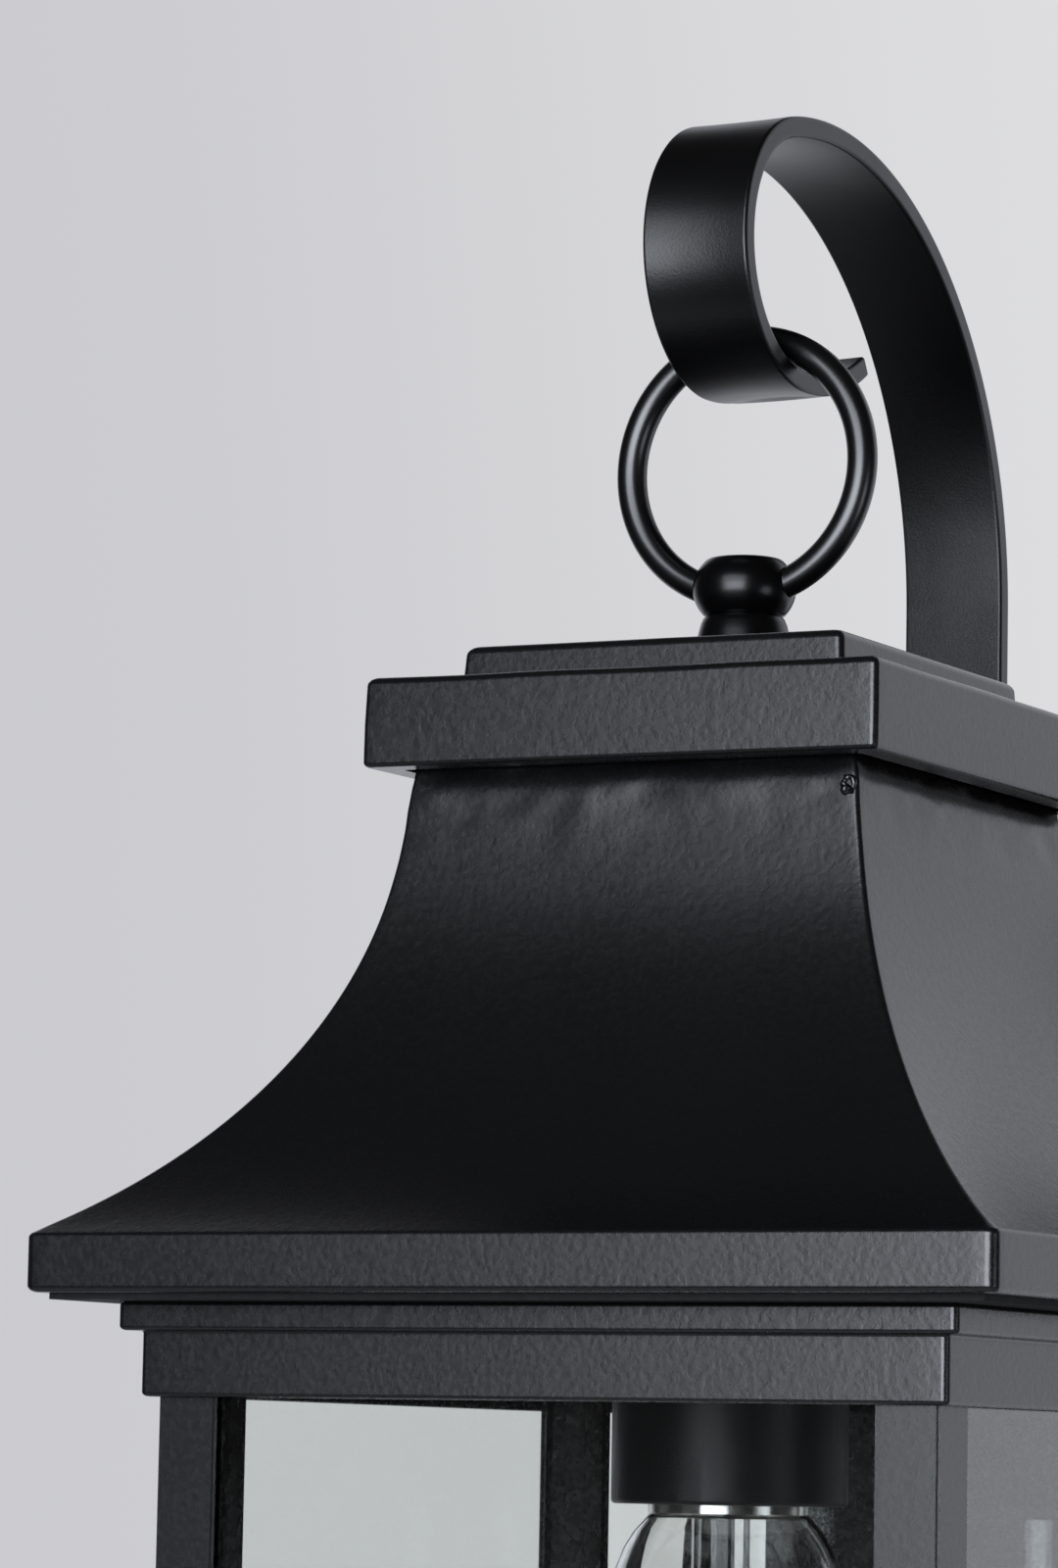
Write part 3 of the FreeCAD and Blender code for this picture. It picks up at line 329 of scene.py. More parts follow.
def metal_material(name, light, rough, stretch, metallic):
    """Plated or drawn metal: brushed streaks and dull patches."""
    tree = material_tree(name)
    streaks = tree.noise(scale=500.0, detail=3.0, stretch=stretch)
    clouds = tree.noise(scale=60.0)
    return tree.finish(Base_Color=tree.tone(clouds, shade(light, 0.78), light),
                       Roughness=tree.ramp(streaks, (0.3, 0.7), rough),
                       Normal=tree.bump(streaks, 0.00002),
                       Metallic=metallic)


def solid_material(name, light, rough, grain_scale, grain_height):
    """Porcelain, foam, black glass or dull black: mottled, with a grain of its own."""
    tree = material_tree(name)
    clouds = tree.noise(scale=70.0)
    grain = tree.noise(scale=grain_scale, detail=3.0)
    return tree.finish(Base_Color=tree.tone(clouds, shade(light, 0.85), light),
                       Roughness=tree.ramp(grain, (0.3, 0.7), (rough - 0.05, rough + 0.05)),
                       Normal=tree.bump(grain, grain_height))


MATERIALS = {}


def make_materials(finish):
    """Every finish of the lantern, by the name of its slot or look."""
    for name, share_of_peel in (("black_coat", 1.0), ("post_coat", 0.45)):
        MATERIALS[name] = coat_material(name, finish, share_of_peel * finish.peel)
    for name, rough, gloss, relief in (
            ("black_hardware", finish.hardware_rough, finish.hardware_gloss, 0.00002),
            ("polished_black", finish.polished_rough, finish.ring_gloss, 0.000004),
            ("turned_black", finish.polished_rough, finish.finial_gloss, 0.000006)):
        MATERIALS[name] = hardware_material(name, finish, rough, gloss, relief)
    MATERIALS["cup_plastic"] = plastic_material(finish)
    for name, tint, waviness in (("pane_glass", finish.glass, 0.00002),
                                 ("bulb_clear", finish.bulb, 0.00008)):
        MATERIALS[name] = glass_material(name, tint, waviness)
    for name, light, rough, stretch, metallic in (
            ("zinc", (0.62, 0.62, 0.6), (0.28, 0.42), (1.0, 1.0, 0.2), 1.0),
            ("nickel", (0.68, 0.67, 0.64), (0.12, 0.26), (1.0, 1.0, 0.1), 1.0),
            ("brass", (0.72, 0.55, 0.25), (0.2, 0.35), (1.0, 1.0, 0.3), 1.0),
            ("ground_green", (0.06, 0.3, 0.1), (0.3, 0.45), (1.0, 1.0, 1.0), 0.6)):
        MATERIALS[name] = metal_material(name, light, rough, stretch, metallic)
    for name, light, rough, grain_scale, grain_height in (
            ("porcelain", (0.82, 0.81, 0.77), 0.22, 120.0, 0.00002),
            ("vitrite", (0.02, 0.015, 0.02), 0.15, 200.0, 0.00002),
            ("dull_black", (0.003, 0.003, 0.0032), 0.8, 900.0, 0.00003),
            ("foam", (0.03, 0.03, 0.03), 0.85, 1500.0, 0.0003)):
        MATERIALS[name] = solid_material(name, light, rough, grain_scale, grain_height)


# Shapes


def arc(centre, radius, start, end, steps):
    """Points on an arc, angles in degrees."""
    turns = [math.radians(start + (end - start) * i / steps) for i in range(steps + 1)]
    return [(centre[0] + radius * math.cos(t), centre[1] + radius * math.sin(t)) for t in turns]


def round_corners(points, steps=4):
    """A closed outline from (x, y, radius) corners; a radius of 0 keeps the corner sharp."""
    result = []
    count = len(points)
    for i, (x, y, radius) in enumerate(points):
        here = Vector((x, y))
        if radius <= 0.0:
            result.append((x, y))
            continue
        back = (Vector(points[i - 1][:2]) - here).normalized()
        onward = (Vector(points[(i + 1) % count][:2]) - here).normalized()
        half = back.angle(onward) / 2
        reach = radius / math.tan(half)
        start, end = here + back * reach, here + onward * reach
        middle = here + (back + onward).normalized() * (radius / math.sin(half))
        for k in range(steps + 1):
            spot = start.lerp(end, k / steps)
            result.append(tuple(middle + (spot - middle).normalized() * radius))
    return result


def square_ring(half, corner, splits, steps=5):
    """Points round a square with rounded corners, about the lantern's axis."""
    corner = min(corner, half * 0.9)
    points = []
    for quarter in range(4):
        spin = Matrix.Rotation(quarter * math.pi / 2, 2)
        flat = half - corner
        side = [(half, -flat + 2 * flat * i / splits) for i in range(splits)]
        bend = arc((flat, flat), corner, 0, 90, steps)[:-1]
        points += [spin @ Vector(p) for p in side + bend]
    return points


def ring_faces(rows, around):
    """Quads between closed rings of points, row by row and from the last row back to the first."""
    faces = []
    for i in range(rows):
        here, there = i * around, (i + 1) % rows * around
        for k in range(around):
            m = (k + 1) % around
            faces.append((here + k, here + m, there + m, there + k))
    return faces


def clean(mesh, move=None):
    """Join doubled points, turn the faces outwards, and then move the points."""
    work = bmesh.new()
    work.from_mesh(mesh)
    bmesh.ops.remove_doubles(work, verts=work.verts, dist=1e-7)
    bmesh.ops.recalc_face_normals(work, faces=work.faces)
    for vert in work.verts if move else ():
        vert.co = move(vert.co)
    work.to_mesh(mesh)
    work.free()


def piece(name, verts, faces, slot, replaced, sharp=40.0, look=None):
    """A finished mesh piece in the row frame that rides on the wall-fixed body."""
    mesh = bpy.data.meshes.new(name)
    mesh.from_pydata([tuple(v) for v in verts], [], faces)
    mesh.validate()
    clean(mesh)
    return dress(name, mesh, slot, replaced, sharp, look)


def dress(name, mesh, slot, replaced, sharp=40.0, look=None):
    """Give a mesh its finish and even normals, and tie it to the frame."""
    mesh.shade_smooth()
    mesh.set_sharp_from_angle(angle=math.radians(sharp))
    mesh.materials.clear()
    mesh.materials.append(MATERIALS[look or slot])
    made = bpy.data.objects.new(name, mesh)
    bpy.context.scene.collection.objects.link(made)
    level = made.modifiers.new("level", "WEIGHTED_NORMAL")
    level.mode, level.weight, level.keep_sharp = "FACE_AREA", 50, True
    graph = bpy.context.evaluated_depsgraph_get()
    made.data = bpy.data.meshes.new_from_object(made.evaluated_get(graph), depsgraph=graph)
    made.modifiers.clear()
    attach(made, "root")
    if replaced:
        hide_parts(*replaced)
    return made


def square_sweep(name, section, corner, splits, slot, replaced, move=None):
    """A closed section of (half width, height) points carried round the lantern's square plan."""
    verts = []
    for half, rise in section:
        for spot in square_ring(half, corner(rise) if callable(corner) else corner, splits):
            point = Vector((spot.x, spot.y + AXIS_Y, rise + EAVE_Z))
            verts.append(move(point) if move else point)
    faces = ring_faces(len(section), len(verts) // len(section))
    return piece(name, verts, faces, slot, replaced)


def turned(name, profile, slot, replaced, segments, look=None):
    """A closed half section of (radius, height) turned about the lantern's axis."""
    verts = []
    for radius, height in profile:
        for k in range(segments):
            t = 2 * math.pi * k / segments
            verts.append((radius * math.cos(t), AXIS_Y + radius * math.sin(t), EAVE_Z + height))
    faces = [face for face in ring_faces(len(profile), segments)
             if any(profile[corner // segments][0] > 0.0 for corner in face)]
    return piece(name, verts, faces, slot, replaced, look=look)


def clamp(value):
    return min(1.0, max(0.0, value))


def lean(point, sizes, amount=1.0):
    """The cap, and the roof's top under it, sit a little out of level."""
    aside = sizes.cap_lean * (point.z - EAVE_Z - sizes.neck_top)
    down = sizes.cap_drop + sizes.cap_lean * point.x
    return Vector((point.x + amount * aside, point.y, point.z - amount * down))


def prism(name, outline, low, high, slot, replaced, round_edge, look):
    """An upright prism over a plan outline, with its long edges and ends eased."""
    work = bmesh.new()
    bottom = [work.verts.new((x, y, low)) for x, y in outline]
    face = work.faces.new(bottom)
    lifted = bmesh.ops.extrude_face_region(work, geom=[face])
    bmesh.ops.translate(work, verts=[v for v in lifted["geom"] if isinstance(v, bmesh.types.BMVert)],
                        vec=(0.0, 0.0, high - low))
    bmesh.ops.recalc_face_normals(work, faces=work.faces)
    bmesh.ops.bevel(work, geom=list(work.edges), offset=round_edge, segments=2, affect="EDGES",
                    clamp_overlap=True)
    mesh = bpy.data.meshes.new(name)
    work.to_mesh(mesh)
    work.free()
    return dress(name, mesh, slot, replaced, sharp=50.0, look=look)


def weld_lump(name, spot, radius, bead):
    """A lumpy ring of weld round a blowhole that faces forward."""
    rings, sides = 20, 10
    stretch, thinnest, sag, lumpy, lump_scale, lump_seed = 1.25, 0.3, 0.45, 0.9, 1.7, 0.4
    verts = []
    for i in range(rings):
        t = 2 * math.pi * i / rings
        across, upward = math.cos(t), math.sin(t)
        uneven = lumpy * noise.noise(Vector((across, upward, lump_seed)) * lump_scale) - sag * upward
        thick = bead * max(thinnest, 1.0 + uneven)
        for k in range(sides):
            u = 2 * math.pi * k / sides
            reach = radius + thick * math.cos(u)
            verts.append(spot + Vector((reach * across, -thick * math.sin(u), stretch * reach * upward)))
    return piece(name, verts, ring_faces(rings, sides), "black_coat", [], sharp=60.0, look="polished_black")


# Geometry Nodes


def add_lengths(tree, **lengths):
    """Named inputs for a tree's sizes."""
    for name, default in lengths.items():
        made = tree.interface.new_socket(name=name, in_out="INPUT", socket_type="NodeSocketFloat")
        made.default_value = default


def sweep_tree(name, flat):
    """A tree that sweeps a rod or an eased flat bar along the object's own curve."""
    tree = bpy.data.node_groups.new(name, "GeometryNodeTree")
    tree.interface.new_socket(name="Geometry", in_out="INPUT", socket_type="NodeSocketGeometry")
    tree.interface.new_socket(name="Geometry", in_out="OUTPUT", socket_type="NodeSocketGeometry")
    nodes, links = tree.nodes, tree.links
    start, end = nodes.new("NodeGroupInput"), nodes.new("NodeGroupOutput")
    normal = nodes.new("GeometryNodeSetCurveNormal")
    normal.mode = "FREE"
    normal.inputs["Normal"].default_value = (1.0, 0.0, 0.0) if flat else (0.0, 1.0, 0.0)
    links.new(start.outputs["Geometry"], normal.inputs["Curve"])
    sweep = nodes.new("GeometryNodeCurveToMesh")
    sweep.inputs["Fill Caps"].default_value = True
    links.new(normal.outputs["Curve"], sweep.inputs["Curve"])
    if flat:
        add_lengths(tree, Width=0.0185, Thickness=0.0035, Edge=0.0005)
        shape = nodes.new("GeometryNodeCurvePrimitiveQuadrilateral")
        ease = nodes.new("GeometryNodeFilletCurve")
        ease.mode = "POLY"
        ease.inputs["Count"].default_value = 3
        links.new(start.outputs["Width"], shape.inputs["Width"])
        links.new(start.outputs["Thickness"], shape.inputs["Height"])
        links.new(start.outputs["Edge"], ease.inputs["Radius"])
        links.new(shape.outputs["Curve"], ease.inputs["Curve"])
        divide = nodes.new("GeometryNodeSubdivideCurve")
        divide.inputs["Cuts"].default_value = 7
        links.new(ease.outputs["Curve"], divide.inputs["Curve"])
        links.new(divide.outputs["Curve"], sweep.inputs["Profile Curve"])
    else:
        add_lengths(tree, Rod=0.0025)
        shape = nodes.new("GeometryNodeCurvePrimitiveCircle")
        shape.inputs["Resolution"].default_value = 32
        links.new(start.outputs["Rod"], shape.inputs["Radius"])
        links.new(shape.outputs["Curve"], sweep.inputs["Profile Curve"])
    close_tree(tree, sweep.outputs["Mesh"], end)
    return tree


def close_tree(tree, source, end):
    """Realize Instances and Set Material close every tree."""
    tree.interface.new_socket(name="Material", in_out="INPUT", socket_type="NodeSocketMaterial")
    start = next(n for n in tree.nodes if n.bl_idname == "NodeGroupInput")
    real = tree.nodes.new("GeometryNodeRealizeInstances")
    paint = tree.nodes.new("GeometryNodeSetMaterial")
    tree.links.new(source, real.inputs["Geometry"])
    tree.links.new(real.outputs["Geometry"], paint.inputs["Geometry"])
    tree.links.new(start.outputs["Material"], paint.inputs["Material"])
    tree.links.new(paint.outputs["Geometry"], end.inputs["Geometry"])


def run_tree(name, tree, source, values, slot, replaced, move=None, look=None):
    """Evaluate a tree on a source object and keep the result as a plain mesh piece."""
    carrier = bpy.data.objects.new(name + "_carrier", source)
    bpy.context.scene.collection.objects.link(carrier)
    modifier = carrier.modifiers.new("tree", "NODES")
    modifier.node_group = tree
    values = {**values, "Material": MATERIALS[look or slot]}
    for socket in tree.interface.items_tree:
        if socket.item_type == "SOCKET" and socket.in_out == "INPUT" and socket.name in values:
            modifier[socket.identifier] = values[socket.name]
    graph = bpy.context.evaluated_depsgraph_get()
    mesh = bpy.data.meshes.new_from_object(carrier.evaluated_get(graph), depsgraph=graph)
    mesh.name = name
    bpy.data.objects.remove(carrier)
    clean(mesh, move)
    if not mesh.polygons:
        raise RuntimeError(f"{name} came out empty")
    return dress(name, mesh, slot, replaced, look=look)


def path_curve(name, points):
    """An open poly curve through points in the row frame."""
    data = bpy.data.curves.new(name, "CURVE")
    data.dimensions = "3D"
    line = data.splines.new("POLY")
    line.points.add(len(points) - 1)
    for spot, point in zip(line.points, points):
        spot.co = (*point, 1.0)
    return data


# Operators


class LANTERN_OT_roof(bpy.types.Operator):
    """Bell-cast roof with its hem, and the weld seam under the cap"""

    bl_idname = "lantern.roof"
    bl_label = "Roof"

    def execute(self, context):
        s = context.scene.lantern_sizes
        rise, run = s.neck_rise - s.skirt, s.eave_half - s.neck_half
        flare = (run ** 2 + rise ** 2) / (2 * run)
        middle = (s.neck_half + flare, s.neck_rise)
        sweep_end = math.degrees(math.asin(rise / flare))
        outside = arc(middle, flare, 180 + sweep_end, 180, 72)
        inner_end = math.degrees(math.acos((middle[0] - s.eave_half + s.sheet) / (flare + s.sheet)))
        inside = arc(middle, flare + s.sheet, 180, 180 + inner_end, 24)
        hem_round, brow_round = 0.0011, 0.0009
        low = round_corners([(s.hem_half, 0.0, 0.0), (s.eave_half, 0.0, hem_round),
                             (s.eave_half, s.skirt, brow_round), (*outside[1], 0.0)])
        top, bend = s.neck_top, s.neck_round
        shoulder = (s.neck_half - bend, top - bend)
        section = low[:-1] + outside[1:] + arc(shoulder, bend, 0, 90, 8)
        section += [(s.pipe_hole, top), (s.pipe_hole, top - s.sheet)]
        section += arc(shoulder, bend - s.sheet, 90, 0, 5) + inside
        section += [(s.eave_half - s.sheet, s.sheet), (s.hem_half, s.sheet)]

        straight_to, pull_from, pull_over, lean_from = 0.058, 0.066, 0.017, 0.070
        under_cap, hip_ease, hip_share = 0.03, 0.005, 0.3
        seam_below, seam_ragged, seam_tall = 0.0020, 0.0011, 0.0032
        coarse, fine, fine_share, fine_seed = 85.0, 190.0, 0.6, Vector((3.0, 1.0, 2.0))
        wave_squash, pull_bias, roll_curve = 1.4, 1.1, 1.3

        def weld(point):
            """The weld pulls the sheet in and out just under the cap, and rolls its edge in."""
            up = point.z - EAVE_Z
            across, along = sorted((abs(point.x), abs(point.y - AXIS_Y)), reverse=True)
            if up < straight_to:
                return point
            if across < under_cap:
                return lean(point, s)
            spot = Vector((point.x, point.y, point.z * wave_squash))
            wave = noise.noise(spot * coarse) + fine_share * noise.noise(spot * fine + fine_seed)
            pull = s.seam_wave * clamp((up - pull_from) / pull_over) ** 2 * (wave + pull_bias)
            edge = s.neck_rise - seam_below + seam_ragged * wave
            depth = s.seam_roll * (hip_share + (1 - hip_share) * clamp((across - along) / hip_ease))
            roll = depth * clamp((up - edge) / seam_tall) ** roll_curve
            scale = 1.0 - (pull + roll) / across
            pulled = Vector((point.x * scale, AXIS_Y + (point.y - AXIS_Y) * scale, point.z))
            return lean(pulled, s, clamp((up - lean_from) / (s.neck_rise - lean_from)))

        def fold(rise):
            """The skirt's corners are rounder than the hips."""
            fade = 0.0015
            return s.hip_round + (s.skirt_round - s.hip_round) * clamp((s.skirt + fade - rise) / fade)

        square_sweep("roof_shell_dressed", section, corner=fold, splits=64, slot="black_coat",
                     replaced=["roof_shell"], move=weld)
        from_hip, below_seam = 0.0014, 0.0030
        hole = Vector((s.neck_half - from_hip, AXIS_Y - s.neck_half, EAVE_Z + s.neck_rise - below_seam))
        weld_lump("weld_lump", weld(hole), radius=0.00085, bead=0.0005)
        return {"FINISHED"}


class LANTERN_OT_cap(bpy.types.Operator):
    """Box cap and the plate on it"""

    bl_idname = "lantern.cap"
    bl_label = "Cap"

    def execute(self, context):
        s = context.scene.lantern_sizes
        low, high, half = s.neck_top, s.cap_top, s.cap_half
        lip_round, brow_round, upright, draw_in = 0.0008, 0.0014, 0.006, 0.0002
        section = round_corners([
            (s.cap_hole, low, 0.0), (s.cap_hole, low - s.cap_lip, 0.0), (half, low - s.cap_lip, lip_round),
            (half, low + upright, 0.0), (half - draw_in, high, brow_round),
            (s.pipe_hole, high, 0.0), (s.pipe_hole, high - s.sheet, 0.0),
            (half - s.sheet, high - s.sheet, 0.0), (half - s.sheet, low + s.sheet, 0.0),
            (s.cap_hole, low + s.sheet, 0.0)])
        waviness, near_top, wave_scale = 0.00016, 0.002, 55.0

        def settle(point):
            """Folded sheet is never quite flat."""
            off = 0.0
            if abs(point.z - EAVE_Z - high) < near_top:
                off = waviness * noise.noise(point * wave_scale)
            return lean(point + Vector((0.0, 0.0, off)), s)

        square_sweep("cap_box_dressed", section, corner=0.0011, splits=30, slot="black_coat",
                     replaced=["cap_box"], move=settle)
        crest, taper, foot_round, crest_round = s.plate_top + s.plate_crown, 0.0004, 0.0002, 0.0016
        plate = round_corners([(s.pipe_hole, high, 0.0), (s.plate_half, high, foot_round),
                               (s.plate_half - taper, crest, crest_round), (s.pipe_hole, crest, 0.0)], 5)
        square_sweep("cap_plate_dressed", plate, corner=0.0012, splits=20, slot="black_coat",
                     replaced=["cap_plate"], move=settle)
        return {"FINISHED"}


class LANTERN_OT_finial(bpy.types.Operator):
    """Turned finial and the ring set into its ball"""

    bl_idname = "lantern.finial"
    bl_label = "Finial and ring"

    def execute(self, context):
        s = context.scene.lantern_sizes
        base = s.plate_top
        collar_half, ease, rim_in, waist = 0.0085, 0.0002, 0.0003, base + 0.0082
        collar = [(radius, base + rise) for radius, rise in (
            (collar_half, 0.0012), (0.0081, 0.0022), (0.0078, 0.0035), (0.0075, 0.0052), (0.0071, 0.0068),
            (0.0067, 0.0078), (0.0062, 0.0082))]
        around = arc((0.0, 0.0), 1.0, -38, 41, 28)
        globe = [(s.bead_half * x, base + s.bead_rise + s.bead_tall * y) for x, y in around]
        rim, top = globe[-1][0] - rim_in, globe[-1][1] + ease
        foot = base - s.cap_drop - s.cap_lean * collar_half
        profile = [(s.pipe_hole, foot), (collar_half - ease, foot), (collar_half, foot + ease)]
        profile += collar + globe + [(rim, top), (0.0, top), (0.0, waist), (s.pipe_hole, waist)]
        turned("finial_dressed", profile, "black_hardware", ["finial"], s.segments, look="turned_black")
        rise = RING_TOP - s.ring_radius - s.ring_rod
        half_gap = 0.003
        gap = math.degrees(math.asin(half_gap / s.ring_radius))
        spots = arc((0.0, rise), s.ring_radius, -90 + gap, 270 - gap, 120)
        run_tree("hanging_ring_dressed", sweep_tree("rod_sweep", False),
                 path_curve("ring_path", [(x, AXIS_Y, z) for x, z in spots]), {"Rod": s.ring_rod},
                 "black_hardware", ["hanging_ring"], look="polished_black")
        return {"FINISHED"}


class LANTERN_OT_crook(bpy.types.Operator):
    """Flat-bar crook swept along its bends"""

    bl_idname = "lantern.crook"
    bl_label = "Crook"

    def execute(self, context):
        s = context.scene.lantern_sizes
        half = s.bar_thick / 2
        back = ARM_HIGH.y
        bend_y, bend_z = back - s.bend_radius, ARM_HIGH.z - s.bend_radius
        bend_turn, curl_turn, tail_turn = 104.0, 270.0, 302.6
        reach, bent = s.bend_radius - s.curl_radius, math.radians(bend_turn)
        curl = (bend_y + reach * math.cos(bent), bend_z + reach * math.sin(bent))
        tail = (curl[0], curl[1] - s.curl_radius + s.tail_radius)
        wide = ARM_HIGH.x - ARM_LOW.x
        slack, curl_start, curl_end, curl_ease = 0.001, 90, 300, 60
        bend_share, bend_fade = 0.3, 0.03

        def hollow(point):
            """Bending hollows the bar across its width, and leaves the curl a little out of square."""
            arm = Vector((point.y - curl[0], point.z - curl[1]))
            angle = math.degrees(math.atan2(arm.y, arm.x)) % 360
            curled = arm.length < s.curl_radius + slack and curl_start < angle < curl_end
            near = clamp((angle - curl_start) / curl_ease)
            if not curled:
                arm = Vector((point.y - bend_y, point.z - bend_z))
                near = bend_share * clamp(1 + arm.y / bend_fade)
            pull = arm.normalized() * (-s.bar_dish * near * (1 - (2 * point.x / wide) ** 2))
            skew = point.x * s.bar_skew * near if curled else 0.0
            return Vector((point.x, point.y + pull.x + skew, point.z + pull.y))

        points = [(back - half, ARM_LOW.z)]
        points += arc((bend_y, bend_z), s.bend_radius - half, 0, bend_turn, 72)
        points += arc(curl, s.curl_radius - half, bend_turn, curl_turn, 72)[1:]
        points += arc(tail, s.tail_radius - half, curl_turn, tail_turn, 16)[1:]
        run_tree("hook_arm_dressed", sweep_tree("bar_sweep", True),
                 path_curve("crook_path", [(0.0, y, z) for y, z in points]),
                 {"Width": wide, "Thickness": s.bar_thick, "Edge": 0.00055}, "black_hardware",
                 ["hook_arm"], move=hollow)
        return {"FINISHED"}


class LANTERN_OT_cage(bpy.types.Operator):
    """Stepped top frame, bottom frame and grooved posts"""

    bl_idname = "lantern.cage"
    bl_label = "Cage"

    def execute(self, context):
        s = context.scene.lantern_sizes
        ease, slight, burr, clearance = s.edge_round, 0.0004, 0.0003, 0.001
        pocket = s.post_half + clearance
        low, high = node_box("top_frame")
        base, top = low.z - EAVE_Z, high.z - EAVE_Z
        step, web_half, web_low = base + 0.0102, 0.050, top - 0.0015
        top_section = round_corners([
            (pocket, base, burr), (s.band_half, base, ease), (s.band_half, step, slight),
            (s.step_half, step, ease), (s.step_half, top, ease), (web_half, top, 0.0),
            (web_half, web_low, 0.0), (pocket, web_low, 0.0)])
        low, high = node_box("bottom_frame")
        base, top = low.z - EAVE_Z, high.z - EAVE_Z
        ledge_half, ledge_top = 0.056, base + 0.002
        bottom_section = round_corners([
            (ledge_half, base, slight), (s.band_half, base, ease), (s.band_half, top, ease),
            (pocket, top, burr), (pocket, ledge_top, 0.0), (ledge_half, ledge_top, slight)])
        for name, section in (("top_frame", top_section), ("bottom_frame", bottom_section)):
            square_sweep(f"{name}_dressed", section, corner=0.0011, splits=30, slot="black_coat",
                         replaced=[name])
        low, high = node_box("front_left_post")
        inner, outer = s.post_half - s.post_wide, s.post_half
        far_side = outer - s.post_lip
        near_side, floor = far_side - s.groove_wide, inner + s.groove_deep
        plan = [(inner, inner), (near_side, inner), (near_side, floor), (far_side, floor),
                (far_side, inner), (outer, inner), (outer, outer), (inner, outer),
                (inner, far_side), (floor, far_side), (floor, near_side), (inner, near_side)]
        corners = (("front_left", 180), ("front_right", 270), ("rear_right", 0), ("rear_left", 90))
        for corner, degrees in corners:
            spin = Matrix.Rotation(math.radians(degrees), 2)
            outline = [spin @ Vector(p) for p in plan]
            prism(f"{corner}_post_dressed", [(p.x, p.y + AXIS_Y) for p in outline], low.z, high.z,
                  "black_coat", [f"{corner}_post"], round_edge=0.0005, look="post_coat")
        return {"FINISHED"}


class LANTERN_OT_lamp(bpy.types.Operator):
    """Lamp-holder cup and the clear bulb"""

    bl_idname = "lantern.lamp"
    bl_label = "Cup and bulb"

    def execute(self, context):
        s = context.scene.lantern_sizes
        low, high = node_box("socket_cup")
        base, top, radius = low.z - EAVE_Z, high.z - EAVE_Z, (high.x - low.x) / 2
        bore, ceiling = radius - 0.0013, top - 0.0015
        bore_round, rim_round, top_round = 0.0004, 0.0007, 0.0015
        profile = round_corners([
            (bore, base, bore_round), (radius, base, rim_round), (radius, top, top_round),
            (s.pipe_hole, top, 0.0), (s.pipe_hole, ceiling, 0.0), (bore, ceiling, 0.0)])
        turned("socket_cup_dressed", profile, "cup_plastic", ["socket_cup"], s.segments)
        wall, ball, middle, crown_half = 0.0009, 0.030, -0.082, 0.0255
        crown_start = math.degrees(math.acos(crown_half / ball))
        flank = ((0.0125, -0.015), (0.0125, -0.0322), (0.0133, -0.0332), (0.0152, -0.0353),
                 (0.0168, -0.0379), (0.018, -0.041), (0.0190, -0.0452), (0.0203, -0.0508),
                 (0.0219, -0.0565), (0.0238, -0.0624))

        def skin(inset):
            """One face of the blown wall, from the neck to the crown."""
            crown = arc((0.0, middle), ball - inset, crown_start, -90, 48)
            return [(reach - inset, rise) for reach, rise in flank] + crown

        outer, inner = skin(0.0), skin(wall)
        outer[-1], inner[-1] = (0.0, middle - ball), (0.0, middle - ball + wall)
        turned("bulb_glass_dressed", outer + inner[::-1], "bulb_clear", ["bulb_glass"], s.segments)
        crest, swing, lead, lowest, turns, steps = 0.013, 0.0005, 0.0036, -0.0295, 4, 8
        thread = [(crest - swing * (1 - math.cos(2 * math.pi * i / steps)), lowest + lead * i / steps)
                  for i in range(turns * steps + 1)]
        cap = [(0.0126, -0.0324), (crest, -0.0324), (crest, -0.0301)] + thread + [
            (crest, -0.0142), (0.0128, -0.0131), (0.0095, -0.0105), (0.0091, -0.0105), (0.0118, -0.0133),
            (0.0119, -0.0146), (0.0119, -0.0310)]
        turned("bulb_cap_dressed", cap, "nickel", ["bulb_cap"], s.segments)
        rod, tube, rod_tip, tube_tip, foot = 0.0016, 0.0060, -0.068, -0.050, -0.020
        stem = round_corners([
            (0.0, foot, 0.0), (0.0, rod_tip, 0.0), (rod, rod_tip, 0.0008), (rod, tube_tip, 0.0008),
            (tube, tube_tip, 0.0012), (tube, -0.031, 0.004), (0.0114, foot, 0.0)], 5)
        turned("bulb_stem_dressed", stem, "bulb_clear", ["bulb_stem"], segments=48)
        return {"FINISHED"}


class LANTERN_OT_finishes(bpy.types.Operator):
    """Procedural finishes for the solids that stay as they are"""

    bl_idname = "lantern.finishes"
    bl_label = "Finishes"

    def execute(self, context):
        slots = {p["node"]: p["material_slot"] for p in frame["record"]["subparts"]}
        # Painted shade: the lamp plate gets the darker, rougher dull black instead of its coat, so its edge
        # under the skirt renders black like the shade in the gap there.
        painted_shade_looks = {"lamp_plate": "dull_black"}
        for name, solid in NODES.items():
            if not solid.material_slots:
                solid.data.materials.append(None)
            for place in solid.material_slots:
                place.material = MATERIALS[painted_shade_looks.get(name, slots[name])]
        return {"FINISHED"}


